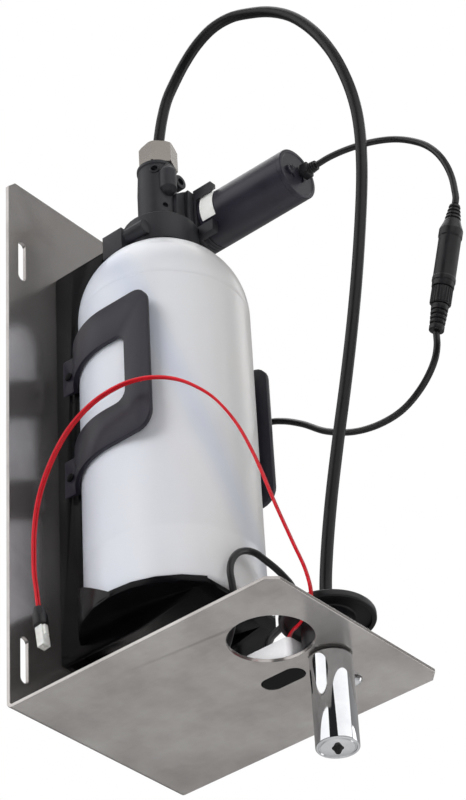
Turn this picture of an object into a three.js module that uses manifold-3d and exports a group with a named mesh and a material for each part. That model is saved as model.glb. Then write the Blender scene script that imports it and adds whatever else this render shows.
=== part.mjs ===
// Automatic soap dispenser that is fitted behind a mirror. A bent steel bracket is screwed to the
// wall and carries a bottle in a plastic cage. A gear pump with its motor sits on the bottle's
// neck and sends soap through a hose to the chrome spout below the shelf, beside a sensor window.
// Millimetres, +Z up, +X to the right, -Y away from the wall. The origin is the centre of the
// bracket's wall face, and level() turns a height above the shelf's underside into Z.

import * as THREE from 'three';
import { mergeVertices } from 'three/addons/utils/BufferGeometryUtils.js';
import Module from 'manifold-3d';

const wasm = await Module();
wasm.setup();

// Clearances
const fitGap = 0.3;
const runningGap = 0.4;
const overrun = 1;

// Wall bracket
const plateWidth = 120;
const plateHeight = 320;
const shelfDepth = 160;
const sheet = 2;
const bendRadius = 1.5;
const cornerCut = 5;
const slotLength = 25;
const slotWidth = 5.2;
const slotInset = 10;
const lowSlotLevel = 30;
const highSlotLevel = 270;
const shelfHoleRadius = 20;
const shelfHoleSide = 20.5;
const shelfHoleForward = 125.5;

// Bottle
const bottleForward = 54;
const bottleRadius = 44;
const bottleWall = 1.8;
const bottleHeelRadius = 4;
const bottleStraight = 185;
const bottlePunt = 2;
const shoulderGroove = 0.5;
const neckRadius = 15.6;
const neckHeight = 11.5;

// Bottle cage
const cageWidth = 50;
const cageWall = 2.4;
const cageBottomLevel = 37;
const cageTopLevel = 271;
const cageEarDepth = 34;
const cageEarLevel = 232;
const ledgeLevel = 43;
const ledgeRadius = 46.8;
const ledgeFront = 40;
const ledgeLip = 1;
const gussetRun = 49;
const gussetReach = 86;
const cupRise = 31;

// Cage arms
const armThickness = 2.6;
const armBottomLevel = 128;
const armTopLevel = 212;
const armReach = 28.5;
const armBarWidth = 15.5;
const armStrap = 22;
const armCorner = 9;
const windowCorner = 6;
const armStart = 6.7;
const rivetShank = 1.3;
const rivetHead = 2.5;
const rivetHeadHeight = 0.8;
const rivetForward = 13;
const cageScrewShank = 1.9;
const cageScrewHead = 3.8;
const cageScrewHeadHeight = 1.7;
const cageScrewLevels = [90, 232];

// Pump collar
const collarRadius = 20;
const collarTop = 2.4;
const neckClearance = 0.6;
const gasketThickness = 1.2;
const gasketBore = 7;
const lugWidth = 9;
const lugOut = 1;
const lugDepth = 13;
const lugBottomLevel = 265;
const lugTopLevel = 279.5;
const stubRadius = 4;
const stubLength = 13.5;

// Pump body
const bodyRadius = 10.5;
const bodyTopRadius = 9.9;
const bodyShift = 0.58;
const outletShift = 0.4;
const bodyHeight = 43;
const bodyRim = 0.5;
const bodyRimHeight = 2.5;
const spigotRadius = 6;
const spigotDrop = 12;
const tubeSocketDepth = 9;
const seatRadius = 2;
const seatThickness = 3;
const ballRadius = 3;
const ballTravel = 1.5;
const chamberClearance = 1;
const outletBore = 2.4;
const outletBoreDepth = 20;
const nippleRadius = 6;
const nippleHeight = 9;
const nippleSocketDepth = 5;
const bossRadius = 4.3;
const bossOut = 10.4;
const bossHeight = 11.4;
const bossDrop = 8.8;
const bossPeak = 7.6;
const bossAngle = -1.92;
const earRadius = 4.2;
const earLength = 5;
const earDrop = 8;
const earSide = 7.4;
const earForward = 7;
const pitRadius = 1.6;
const pitDepth = 2;
const pitDrop = 31.2;
const pitAngle = -2.1;
const slotRadius = 1.8;
const slotDrop = 6.6;
const slotAngle = -2.6;
const dipTubeRadius = 3.2;
const dipTubeWall = 1;
const dipTubeClearance = 8;

// Outlet fitting
const fittingNutRadius = 10.4;
const fittingNutHeight = 14;
const fittingNutRoof = 2.6;
const fittingNutChamfer = 1.2;
const fittingNutTurn = 0.3543;
const ferruleHeight = 1.6;
const ferruleWall = 2.2;

// Gear case and motor
const motorSide = 25;
const motorRise = 13;
const caseLead = 4;
const caseDepth = 8.5;
const caseReach = 7.8;
const caseHalfHeight = 12.9;
const gearTeeth = 10;
const gearTipRadius = 6;
const gearRootRadius = 4.2;
const gearSpacing = 10.4;
const gearWidth = 5;
const gearChamberDepth = 6;
const toothRootShare = 0.27;
const toothTipShare = 0.12;
const pinRadius = 1.5;
const shaftRadius = 1.5;
const shaftBearing = 2.5;
const coverThickness = 1.6;
const clampThickness = 1.7;
const clampSide = 14.5;
const clampTop = 14;
const clampFoot = 18.4;
const clampArmSize = 4.2;
const clampArmHeight = 6.8;
const clampArmLength = 10.4;
const clampBore = 7;
const caseScrewSide = 4.8;
const caseScrewRise = 9;
const caseScrewShank = 1.2;
const caseScrewHead = 2.2;
const caseScrewHeadHeight = 1;
const motorRadius = 14.4;
const motorLength = 52.9;
const motorWall = 1.2;
const motorBearingRadius = 2.2;
const endCapThickness = 2.4;
const endCapRound = 0.8;
const magnetLength = 30;
const magnetWall = 3;
const magnetHalfAngle = 1.05;
const magnetStart = 9;
const armatureRadius = 8.6;
const armatureLength = 26;
const commutatorRadius = 3.6;
const commutatorLength = 7;
const rotorClearance = 2;
const labelLength = 9;
const labelHalfAngle = 0.56;
const labelThickness = 0.3;
const glandSide = 4.3;
const glandRise = 3;
const glandWidth = 6.4;
const glandHeight = 7.2;
const glandBlock = 4.6;
const glandTaper = 4.4;
const glandEnd = 2.6;
const terminalSide = 6.4;
const terminalDrop = 1;
const terminalRadius = 2.6;
const terminalHeight = 1.2;

// Spout
const spoutSide = 10.3;
const spoutForward = 134.85;
const spoutRadius = 10;
const spoutLength = 45.6;
const spoutWall = 1.6;
const spoutFoot = 2;
const spoutEdge = 0.8;
const shankRadius = 7.5;
const shankHeight = 24.5;
const shankBore = 3.5;
const shankClearance = 0.6;
const spoutGasketThickness = 0.6;
const spoutGasketWidth = 1.2;
const nozzleRadius = 2.4;
const nozzleTip = 1.1;
const nozzleDrop = 2.6;
const nozzleFlange = 5.6;
const nozzleFlangeHeight = 1.6;
const nozzleBore = 0.6;
const spoutNutRadius = 22.5;
const spoutNutHub = 12.6;
const spoutNutHubHeight = 16.2;
const spoutNutFlange = 4;
const spoutNutDish = 1.6;
const spoutNutRim = 2.4;

// Sensor
const sensorSide = 10.2;
const sensorForward = 107.2;
const windowLength = 23.2;
const windowWidth = 10.8;
const windowLip = 0.8;
const windowLipHeight = 1;
const housingLength = 26.8;
const housingWidth = 23;
const housingHeight = 10.4;
const housingWall = 1.1;
const housingCorner = 3;
const boardThickness = 1.6;
const boardLift = 5;
const diodeRadius = 2.5;
const diodeHeight = 3;
const diodeSpread = 6;
const earthSide = 33.5;
const earthForward = 130.5;
const earthShank = 1.9;
const earthHead = 3.3;
const earthHeadHeight = 2.5;
const earthNut = 4;
const earthNutHeight = 3.2;
const earthTail = 1.4;

// Hose, leads and their connectors
const hoseRadius = 3;
const hoseClearance = 0.6;
const hoseSides = 10;
const leadRadius = 1.7;
const cordSides = 8;
const wireRadius = 0.7;
const wireOffset = 0.85;
const plugLean = 0.2777;
const plugTopSide = 30;
const plugTopForward = 217.6;
const plugTopLevel = 229.5;
const bootLength = 10.7;
const bootRadius = 2.8;
const bootBase = 4.4;
const socketLength = 36;
const socketRadius = 5.9;
const socketEndRadius = 5.5;
const socketShoulder = 4;
const couplingLength = 9;
const couplingRadius = 5.3;
const couplingRibs = 18;
const couplingRibDepth = 0.3;
const plugBootLength = 14;
const plugBootRadius = 4.3;
const plugBootEnd = 3.7;
const plugGroove = 0.7;
const plugCore = 3.6;
const connectorSide = -54;
const connectorForward = 18.4;
const connectorLevel = 28.2;
const connectorLean = 0.139;
const connectorWidth = 4.8;
const connectorDepth = 4.2;
const connectorHeight = 11.4;
const connectorKey = 1;
const contactSlot = 0.8;
const contactSlotDepth = 4;
const sleeveHeight = 11;
const sleeveRadius = 3.7;
const sleeveTopRadius = 2.6;

// Facets round a turned piece, by how large it is
const fineFacets = 36;
const roundFacets = 24;
const smallFacets = 12;
const cornerSegments = 3;
const bandSegments = 10;
const hexSides = 6;

// Levels that several pieces share
const ledgeTop = ledgeLevel + cageWall;
const bottleBottom = ledgeTop + fitGap;
const shoulderLevel = bottleBottom + bottleStraight;
const neckBase = domeLevel(neckRadius);
const neckTop = neckBase + neckHeight;
const gasketBottom = neckTop + fitGap;
const collarRoof = gasketBottom + gasketThickness + fitGap;
const collarTopLevel = collarRoof + collarTop;
const bodyBottom = collarTopLevel + fitGap;
const bodyTop = bodyBottom + bodyHeight;
const spigotBottom = bodyBottom - spigotDrop;
const motorLevel = bodyBottom + motorRise;
const caseForward = bottleForward + caseLead;
const labelRadius = motorRadius + fitGap + labelThickness;
const cradleRadius = bottleRadius + runningGap;

// Finishes
const brushedSteel = { color: 0x9a9894, roughness: 0.38, metalness: 1 };
const chrome = { color: 0xd6d8da, roughness: 0.08, metalness: 1 };
const nickel = { color: 0xb9b2a6, roughness: 0.3, metalness: 1 };
const zincSteel = { color: 0xb4b6b8, roughness: 0.35, metalness: 1 };
const copper = { color: 0xb06a3c, roughness: 0.4, metalness: 1 };
const ferrite = { color: 0x3a3a3c, roughness: 0.7, metalness: 0.2 };
const cagePlastic = { color: 0x141416, roughness: 0.35, metalness: 0 };
const armPlastic = { color: 0x2b2a30, roughness: 0.42, metalness: 0 };
const pumpPlastic = { color: 0x2c2d2f, roughness: 0.55, metalness: 0 };
const motorBlack = { color: 0x26252b, roughness: 0.5, metalness: 0 };
const bottlePlastic = { color: 0xe9ebf0, roughness: 0.35, metalness: 0 };
const clearPlastic = { color: 0xd8dcdc, roughness: 0.3, metalness: 0 };
const gearPlastic = { color: 0xe4e0d2, roughness: 0.4, metalness: 0 };
const rubber = { color: 0x17171a, roughness: 0.8, metalness: 0 };
const cableBlack = { color: 0x101012, roughness: 0.4, metalness: 0 };
const wireRed = { color: 0xc01826, roughness: 0.35, metalness: 0 };
const whiteNylon = { color: 0xece9e2, roughness: 0.45, metalness: 0 };
const housingPlastic = { color: 0xc9cbcc, roughness: 0.35, metalness: 0 };
const paper = { color: 0xf2f2ee, roughness: 0.7, metalness: 0 };
const windowPlastic = { color: 0x0b0b0d, roughness: 0.15, metalness: 0 };
const boardGreen = { color: 0x1d5c35, roughness: 0.5, metalness: 0 };

// Route of each hose and lead, chosen by hand along the curves that they hang in
const hoseRoute = [
  [0.4, -54.4, 175.3], [0.4, -54.4, 181], [0.4, -54.5, 186.5], [0.5, -55.5, 193.1], [0.8, -58, 206.1],
  [1.5, -61.5, 218.4], [2.6, -66.6, 228.7], [3.6, -73.3, 238.9], [4.7, -82, 248.2],
  [6, -92.3, 254.4], [7.4, -103.8, 255.5], [8.8, -116.7, 251.4], [9.7, -129.4, 244.5],
  [11, -141.8, 233.9], [12.7, -153.4, 217.9], [14.2, -163.7, 196.4], [15.2, -170.6, 173.8],
  [15.8, -174.3, 153.5], [16.2, -175.3, 135.9], [16.1, -174.8, 116], [15.9, -173.1, 96.9],
  [15.1, -167.4, 54.9], [14.2, -161.6, 20.3], [13.1, -155.1, -13.4], [11.8, -148.4, -45.8],
  [10.8, -142.1, -77.6], [10.3, -137.7, -103.9], [10.3, -135.3, -122], [10.3, -134.85, -134],
  [10.3, -134.85, -143], [10.3, -134.85, -150],
];
const motorLeadRoute = [
  [29.3, -137.3, 143.8], [29.4, -144, 144.1], [29.6, -151, 143.6], [29.8, -159, 142.2],
  [29.9, -168, 139.7], [30, -177.9, 135.9], [30, -187.5, 130.8], [30, -196.6, 124.1],
  [30, -204.9, 116], [30, -211.3, 106.4], [30, -215.6, 96], [30, -217.9, 86], [30, -218.5, 78],
  [30, -218.6, 73.6], [30, -217.75, 70],
];
const sensorLeadRoute = [
  [30, -198.3, 1.3], [31, -197.2, -5.4], [32.2, -194, -12], [35, -185.2, -18.8],
  [40.8, -168.8, -22], [45.4, -151.9, -20], [50.2, -131.3, -12.6], [54.4, -110.2, 0.4],
  [57.7, -93.4, 15.1], [60, -79.5, 25.1], [60.6, -70, 29.4], [60.4, -61.4, 28.8],
  [59.4, -54, 23.6], [58.6, -48.8, 14], [57.8, -46.4, 0], [56.8, -45.6, -24], [55.6, -46, -54],
  [54, -47.4, -84], [51.6, -50, -110], [47.6, -53.4, -130], [41.4, -57.6, -144],
  [32.4, -62.8, -152.2], [21, -68, -155.2], [9, -73, -155.4], [-2, -79, -155.4],
  [-9.4, -86.6, -153], [-12.6, -94, -145.6], [-12.8, -98.6, -134], [-12.9, -99.8, -124],
  [-14.2, -100.2, -116.5], [-15.2, -100.2, -109.9], [-13.9, -100.5, -103.6], [-9.7, -101, -97.6],
  [-4.8, -102, -94.6], [0.2, -103.5, -94.3], [5.2, -105, -96.5], [9.8, -107, -99.7],
  [13.7, -108.8, -103.4], [17.6, -110, -107.4], [19.6, -110.4, -113], [19.2, -109.4, -120],
  [16, -106.6, -127], [12, -103.6, -132.4], [9, -101.6, -137], [8, -101, -141.5], [8, -101, -147],
];
const redWireRoute = [
  [-54, -15.2, -108.7], [-54, -14.6, -104.4], [-54, -13.7, -97], [-54.1, -12.8, -90],
  [-54.2, -12.6, -81], [-54.4, -13.3, -64.3], [-54.8, -17, -47.6], [-55, -25, -31.6],
  [-55.4, -37.2, -18.6], [-55.8, -53.4, -11.2], [-55.9, -70.4, -9.9], [-56.5, -86, -13.6],
  [-55.6, -97.5, -18.2], [-54.1, -107, -23.8], [-51.5, -114, -29.4], [-46.2, -121, -37.1],
  [-40.1, -128, -50.8], [-35.8, -134.5, -70.5], [-30.2, -141.5, -101], [-24.1, -144.8, -119.5],
  [-18.4, -146.2, -131.8], [-15.4, -146, -142], [-13.4, -143.2, -146.2], [-8.6, -136.2, -147.6],
  [-4.4, -128.8, -147.3], [-0.4, -123, -145.1], [3.4, -118, -144.1], [6.9, -114.4, -144.1],
  [9.4, -111.9, -144.9], [10.2, -111.1, -146.1],
];
const hoseSteps = 40;
const motorLeadSteps = 16;
const sensorLeadSteps = 60;
const redWireSteps = 70;

const part = new THREE.Group();
const pump = new THREE.Group();
const plug = new THREE.Group();
const wireEnd = new THREE.Group();
pump.position.set(motorSide, -caseForward, level(motorLevel));
pump.rotation.x = Math.PI / 2;
plug.position.set(plugTopSide, -plugTopForward, level(plugTopLevel));
plug.rotation.x = Math.PI + plugLean;
wireEnd.position.set(connectorSide, -connectorForward, level(connectorLevel));
wireEnd.rotation.x = -connectorLean;
part.add(pump, plug, wireEnd);

function level(height) {
  return height - plateHeight / 2;
}

// Height of the bottle's domed shoulder at a distance from the bottle's axis
function domeLevel(radius) {
  return shoulderLevel + Math.sqrt(bottleRadius ** 2 - radius ** 2);
}

// A geometry with positions only, shared vertices merged, no collapsed faces and its faces out
function closed(geometry) {
  for (const name of Object.keys(geometry.attributes)) {
    if (name !== 'position') geometry.deleteAttribute(name);
  }
  const merged = mergeVertices(geometry);
  const corners = merged.index.array;
  const point = merged.attributes.position;
  const [a, b, c] = [new THREE.Vector3(), new THREE.Vector3(), new THREE.Vector3()];
  const faces = [];
  let volume = 0;
  for (let i = 0; i < corners.length; i += 3) {
    const [p, q, r] = [corners[i], corners[i + 1], corners[i + 2]];
    if (p === q || q === r || r === p) continue;
    faces.push([p, q, r]);
    a.fromBufferAttribute(point, p);
    b.fromBufferAttribute(point, q);
    c.fromBufferAttribute(point, r);
    volume += a.dot(b.cross(c));
  }
  if (volume < 0) faces.forEach((face) => face.reverse());
  merged.setIndex(faces.flat());
  return merged;
}

function toSolid(geometry) {
  const tidy = closed(geometry);
  return new wasm.Manifold(new wasm.Mesh({
    numProp: 3,
    vertProperties: new Float32Array(tidy.attributes.position.array),
    triVerts: new Uint32Array(tidy.index.array),
  }));
}

function fromSolid(solid) {
  const mesh = solid.getMesh();
  const geometry = new THREE.BufferGeometry();
  geometry.setAttribute('position', new THREE.BufferAttribute(mesh.vertProperties, 3));
  geometry.setIndex(new THREE.BufferAttribute(mesh.triVerts, 1));
  return geometry;
}

function join(first, ...others) {
  return fromSolid(others.reduce((solid, other) => solid.add(toSolid(other)), toSolid(first)));
}

function cut(body, ...tools) {
  return fromSolid(tools.reduce((solid, tool) => solid.subtract(toSolid(tool)), toSolid(body)));
}

function common(first, second) {
  return fromSolid(toSolid(first).intersect(toSolid(second)));
}

// A box between two corners
function block(low, high) {
  const size = high.map((value, axis) => value - low[axis]);
  const middle = high.map((value, axis) => (value + low[axis]) / 2);
  return new THREE.BoxGeometry(...size).translate(...middle);
}

// A profile of [radius, height] points turned about the Z axis
function turned(profile, facets) {
  const points = profile.map(([radius, height]) => new THREE.Vector2(radius, height));
  return new THREE.LatheGeometry(points, facets).rotateX(Math.PI / 2);
}

function rod(radius, bottom, top, facets = smallFacets) {
  return turned([[0, bottom], [radius, bottom], [radius, top], [0, top]], facets);
}

function pipe(bore, radius, bottom, top, facets = smallFacets) {
  return turned([[bore, bottom], [radius, bottom], [radius, top], [bore, top], [bore, bottom]], facets);
}

// A shape drawn in plan and raised from one height to another
function raised(shape, bottom, top, curveSegments = cornerSegments) {
  const settings = { depth: top - bottom, bevelEnabled: false, curveSegments };
  return new THREE.ExtrudeGeometry(shape, settings).translate(0, 0, bottom);
}

// A shape drawn from the side, forward and up, and given a width along X
function sideways(shape, left, right) {
  const forward = new THREE.Vector3(0, -1, 0);
  const up = new THREE.Vector3(0, 0, 1);
  const across = new THREE.Vector3(-1, 0, 0);
  const settings = { depth: right - left, bevelEnabled: false, curveSegments: cornerSegments };
  return new THREE.ExtrudeGeometry(shape, settings)
    .applyMatrix4(new THREE.Matrix4().makeBasis(forward, up, across))
    .translate(right, 0, 0);
}

function outline(points) {
  return new THREE.Shape(points.map(([x, y]) => new THREE.Vector2(x, y)));
}

// A slot with round ends, its long way along the second axis of the drawing
function slotShape(x, y, length, width) {
  const radius = width / 2;
  const reach = length / 2 - radius;
  const shape = new THREE.Shape();
  shape.absarc(x, y + reach, radius, 0, Math.PI);
  shape.absarc(x, y - reach, radius, Math.PI, 2 * Math.PI);
  return shape;
}

function roundedBox(left, bottom, right, top, corner) {
  const shape = new THREE.Shape();
  shape.absarc(right - corner, top - corner, corner, 0, Math.PI / 2);
  shape.absarc(left + corner, top - corner, corner, Math.PI / 2, Math.PI);
  shape.absarc(left + corner, bottom + corner, corner, Math.PI, 1.5 * Math.PI);
  shape.absarc(right - corner, bottom + corner, corner, 1.5 * Math.PI, 2 * Math.PI);
  return shape;
}

// A ring's sector in plan, between two angles
function sector(inner, outer, from, to) {
  const shape = new THREE.Shape();
  shape.absarc(0, 0, outer, from, to);
  shape.absarc(0, 0, inner, to, from, true);
  return shape;
}

function mirrored(geometry) {
  const flipped = geometry.clone();
  return closed(flipped.applyMatrix4(new THREE.Matrix4().makeScale(-1, 1, 1)));
}

function piece(name, geometry, finish, parent = part) {
  const mesh = new THREE.Mesh(closed(geometry), new THREE.MeshStandardMaterial(finish));
  mesh.name = name;
  parent.add(mesh);
  return mesh;
}

// Moves a turned piece from the Z axis to the bottle's axis or the spout's axis
function atBottle(geometry) {
  return geometry.translate(0, -bottleForward, level(0));
}

function atOutlet(geometry) {
  return atBottle(geometry.translate(outletShift, -outletShift, 0));
}

function atSpout(geometry) {
  return geometry.translate(spoutSide, -spoutForward, level(0));
}

// One steel sheet, bent once between the wall plate and the shelf, with its corners cut off
function bracketProfile() {
  const outside = bendRadius + sheet;
  const shape = new THREE.Shape();
  shape.moveTo(0, plateHeight);
  shape.lineTo(0, outside);
  shape.absarc(outside, outside, outside, Math.PI, 1.5 * Math.PI);
  shape.lineTo(shelfDepth, 0);
  shape.lineTo(shelfDepth, sheet);
  shape.absarc(outside, outside, bendRadius, 1.5 * Math.PI, Math.PI, true);
  shape.lineTo(sheet, plateHeight);
  return shape;
}

function cornerCuts() {
  const edge = plateWidth / 2;
  const reach = cornerCut + overrun;
  const cuts = [];
  for (const side of [-1, 1]) {
    const top = outline([
      [side * (edge - cornerCut), 0], [side * (edge + overrun), -reach], [side * (edge + overrun), overrun],
      [side * (edge - cornerCut), overrun],
    ]);
    const turnUp = new THREE.Matrix4().makeRotationX(Math.PI / 2);
    cuts.push(raised(top, -overrun, sheet + overrun).applyMatrix4(turnUp)
      .translate(0, 0, level(plateHeight)));
    const front = outline([
      [side * (edge - cornerCut), 0], [side * (edge + overrun), reach], [side * (edge + overrun), -overrun],
      [side * (edge - cornerCut), -overrun],
    ]);
    cuts.push(raised(front, level(-overrun), level(sheet + overrun)).translate(0, -shelfDepth, 0));
  }
  return cuts;
}

function wallSlots() {
  const cuts = [];
  for (const side of [-1, 1]) {
    for (const height of [lowSlotLevel, highSlotLevel]) {
      const across = side * (plateWidth / 2 - slotInset);
      const tool = raised(slotShape(0, 0, slotLength, slotWidth), -overrun, sheet + overrun);
      cuts.push(tool.rotateX(Math.PI / 2).translate(across, 0, level(height)));
    }
  }
  return cuts;
}

function buildBracket() {
  const bent = sideways(bracketProfile(), -plateWidth / 2, plateWidth / 2).translate(0, 0, level(0));
  const shelfTools = [
    rod(shelfHoleRadius, -overrun, sheet + overrun, fineFacets)
      .translate(-shelfHoleSide, -shelfHoleForward, level(0)),
    raised(slotShape(0, 0, windowLength, windowWidth), -overrun, sheet + overrun)
      .translate(sensorSide, -sensorForward, level(0)),
    atSpout(rod(shankRadius + shankClearance, -overrun, sheet + overrun, roundFacets)),
    rod(earthShank + fitGap, -overrun, sheet + overrun).translate(earthSide, -earthForward, level(0)),
  ];
  const screwHoles = cageScrewLevels.map((height) => rod(cageScrewShank + fitGap, -overrun, sheet + overrun)
    .rotateX(Math.PI / 2).translate(0, 0, level(height)));
  const tools = [...cornerCuts(), ...wallSlots(), ...shelfTools, ...screwHoles];
  piece('wall_bracket', cut(bent, ...tools), brushedSteel);
}

// The bottle's outer form, grown by a clearance, for cutting what stands round it
function bottleForm(clearance) {
  const radius = bottleRadius + clearance;
  const profile = [[0, bottleBottom], [radius, bottleBottom], [radius, shoulderLevel]];
  const steps = 12;
  for (let step = 1; step <= steps; step += 1) {
    const angle = (step / steps) * (Math.PI / 2);
    profile.push([radius * Math.cos(angle), shoulderLevel + radius * Math.sin(angle)]);
  }
  profile[profile.length - 1][0] = 0;
  return atBottle(turned(profile, fineFacets));
}

// The moulded cage: a channel on the bracket, a cradle behind the bottle and a ledge below it
function cageSideWalls() {
  const front = bottleForward - bottleRadius * Math.cos(Math.asin(cageWidth / 2 / bottleRadius));
  const back = sheet + fitGap;
  const half = cageWidth / 2;
  const wall = outline([
    [back, cageBottomLevel], [back + gussetRun, cageBottomLevel], [gussetReach, ledgeLevel],
    [gussetReach, ledgeLevel + cageWall / 2], [front, ledgeLevel + cageWall / 2], [front, cageEarLevel],
    [back + cageEarDepth, cageTopLevel - cageWall], [back + cageEarDepth, cageTopLevel],
    [back, cageTopLevel],
  ]);
  const left = sideways(wall, -half, cageWall - half).translate(0, 0, level(0));
  return [left, mirrored(left)];
}

function cageCup() {
  const outer = cradleRadius + cageWall;
  const ring = raised(sector(cradleRadius, outer, 0, Math.PI), 0, cupRise + cageWall, bandSegments);
  const slope = outline([
    [-outer - overrun, -overrun], [overrun, -overrun], [0, cageWall / 2], [-outer, cupRise + cageWall],
    [-outer - overrun, cupRise + cageWall],
  ]);
  const kept = sideways(slope, -outer - overrun, outer + overrun);
  return atBottle(common(ring, kept).translate(0, 0, ledgeTop - cageWall / 2));
}

function cageLedge() {
  const back = Math.PI / 2;
  const sweep = Math.PI - Math.acos(ledgeFront / ledgeRadius);
  const disc = new THREE.Shape();
  disc.absarc(0, 0, ledgeRadius, back - sweep, back + sweep);
  const lip = raised(sector(cradleRadius + cageWall - overrun, ledgeRadius, back - sweep, back + sweep),
    ledgeTop - cageWall / 2, ledgeTop + ledgeLip, bandSegments);
  return [atBottle(raised(disc, ledgeLevel, ledgeTop, bandSegments)), atBottle(lip)];
}

function buildCage() {
  const back = sheet + fitGap;
  const half = cageWidth / 2;
  const middle = Math.PI / 2;
  const turn = Math.asin(half / (cradleRadius + cageWall));
  const flange = block([-half, -back - cageWall, level(cageBottomLevel)], [half, -back, level(cageTopLevel)]);
  const rear = block([-half, -back - 2 * cageWall, level(ledgeLevel)], [half, -back, level(ledgeTop)]);
  const cradle = atBottle(raised(
    sector(cradleRadius, cradleRadius + cageWall, middle - turn, middle + turn),
    ledgeTop - cageWall / 2, cageTopLevel, bandSegments,
  ));
  const screwTools = cageScrewLevels.flatMap((height) => [
    rod(cageScrewShank + fitGap, 0, back + cageWall + overrun),
    rod(cageScrewHead + runningGap, back + cageWall, bottleForward),
  ].map((tool) => tool.rotateX(Math.PI / 2).translate(0, 0, level(height))));
  const rivetTools = rivetPlaces().map(([across, height]) => rod(rivetShank + fitGap, -cageWall, cageWall)
    .rotateY(Math.PI / 2).translate(across, -rivetForward, level(height)));
  const whole = join(flange, rear, cradle, cageCup(), ...cageLedge(), ...cageSideWalls());
  piece('bottle_cage', cut(whole, bottleForm(runningGap), ...screwTools, ...rivetTools), cagePlastic);
}

// Each arm is a strip that leaves the channel's side, follows the bottle and runs straight forward
function armBand() {
  const side = cageWidth / 2 + fitGap;
  const outer = cradleRadius + armThickness;
  const innerTurn = Math.asin(side / cradleRadius);
  const outerTurn = Math.asin((side + armThickness) / outer);
  const back = bottleForward - sheet - fitGap - armStart;
  const shape = new THREE.Shape();
  shape.moveTo(-side, back);
  shape.absarc(0, 0, cradleRadius, Math.PI / 2 + innerTurn, Math.PI);
  shape.lineTo(-cradleRadius, -armReach);
  shape.lineTo(-outer, -armReach);
  shape.absarc(0, 0, outer, Math.PI, Math.PI / 2 + outerTurn, true);
  shape.lineTo(-side - armThickness, back);
  return raised(shape, armBottomLevel, armTopLevel, bandSegments).translate(0, -bottleForward, level(0));
}

function armFace() {
  const front = bottleForward + armReach;
  const face = roundedBox(-front, armBottomLevel, front, armTopLevel, armCorner);
  const barBack = front - armBarWidth;
  const lower = armBottomLevel + armStrap;
  const upper = armTopLevel - armStrap;
  face.holes.push(roundedBox(-barBack, lower, barBack, upper, windowCorner));
  return sideways(face, -ledgeRadius * 2, 0).translate(0, 0, level(0));
}

function rivetPlaces() {
  const middles = [armBottomLevel + armStrap / 2, armTopLevel - armStrap / 2];
  const side = cageWidth / 2;
  return [-side, side].flatMap((across) => middles.map((height) => [across, height]));
}

function buildArms() {
  const holes = rivetPlaces().filter(([across]) => across < 0)
    .map(([across, height]) => rod(rivetShank + fitGap, -2 * armThickness, armThickness)
      .rotateY(Math.PI / 2).translate(across, -rivetForward, level(height)));
  const left = cut(common(armBand(), armFace()), ...holes);
  piece('cage_arm_left', left, armPlastic);
  piece('cage_arm_right', mirrored(left), armPlastic);
  const shankEnd = armThickness + 2 * fitGap;
  const rivet = [
    [0, fitGap - cageWall], [rivetShank, fitGap - cageWall], [rivetShank, shankEnd], [rivetHead, shankEnd],
    [rivetHead, shankEnd + rivetHeadHeight / 2], [rivetShank, shankEnd + rivetHeadHeight],
    [0, shankEnd + rivetHeadHeight],
  ];
  const names = ['left_lower', 'left_upper', 'right_lower', 'right_upper'];
  rivetPlaces().forEach(([across, height], index) => {
    const turn = Math.sign(across) * (Math.PI / 2);
    const body = turned(rivet, smallFacets).rotateY(turn).translate(across, -rivetForward, level(height));
    piece(`arm_rivet_${names[index]}`, body, armPlastic);
  });
}

function buildCageScrews() {
  const head = sheet + fitGap + cageWall + fitGap;
  const profile = [
    [0, fitGap], [cageScrewShank, fitGap], [cageScrewShank, head], [cageScrewHead, head],
    [cageScrewHead, head + cageScrewHeadHeight / 2], [cageScrewShank, head + cageScrewHeadHeight],
    [0, head + cageScrewHeadHeight],
  ];
  cageScrewLevels.forEach((height, index) => {
    const body = turned(profile, smallFacets).rotateX(Math.PI / 2).translate(0, 0, level(height));
    piece(`cage_screw_${index + 1}`, body, zincSteel);
  });
}

// A blow-moulded bottle with a straight side, a domed shoulder and an open neck
function shellProfile(radius, inset, heel) {
  const points = [];
  const arcSteps = 2;
  const low = bottleBottom + inset;
  for (let step = 0; step <= arcSteps; step += 1) {
    const angle = (step / arcSteps) * (Math.PI / 2);
    points.push([radius - heel + heel * Math.sin(angle), low + heel - heel * Math.cos(angle)]);
  }
  points.push([radius, shoulderLevel - shoulderGroove], [radius - shoulderGroove, shoulderLevel]);
  const neck = neckRadius - inset;
  const end = Math.acos(neck / radius);
  const domeSteps = 7;
  for (let step = 1; step <= domeSteps; step += 1) {
    const angle = (step / domeSteps) * end;
    points.push([radius * Math.cos(angle), shoulderLevel + radius * Math.sin(angle)]);
  }
  points.push([neck, neckTop]);
  return points;
}

function buildBottle() {
  const foot = bottleRadius - 2 * bottleHeelRadius;
  const outside = shellProfile(bottleRadius, 0, bottleHeelRadius);
  const inside = shellProfile(bottleRadius - bottleWall, bottleWall, bottleHeelRadius - bottleWall);
  const profile = [
    [0, bottleBottom + bottlePunt], [foot - bottlePunt, bottleBottom + bottlePunt], [foot, bottleBottom],
    ...outside, ...inside.reverse(), [foot - bottlePunt, bottleBottom + bottlePunt + bottleWall],
    [0, bottleBottom + bottlePunt + bottleWall],
  ];
  piece('bottle', atBottle(turned(profile, fineFacets)), bottlePlastic);
  const tubeBottom = bottleBottom + dipTubeClearance;
  const tubeTop = spigotBottom + tubeSocketDepth - fitGap;
  const tube = pipe(dipTubeRadius - dipTubeWall, dipTubeRadius, tubeBottom, tubeTop);
  piece('dip_tube', atBottle(tube), clearPlastic);
}

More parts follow.
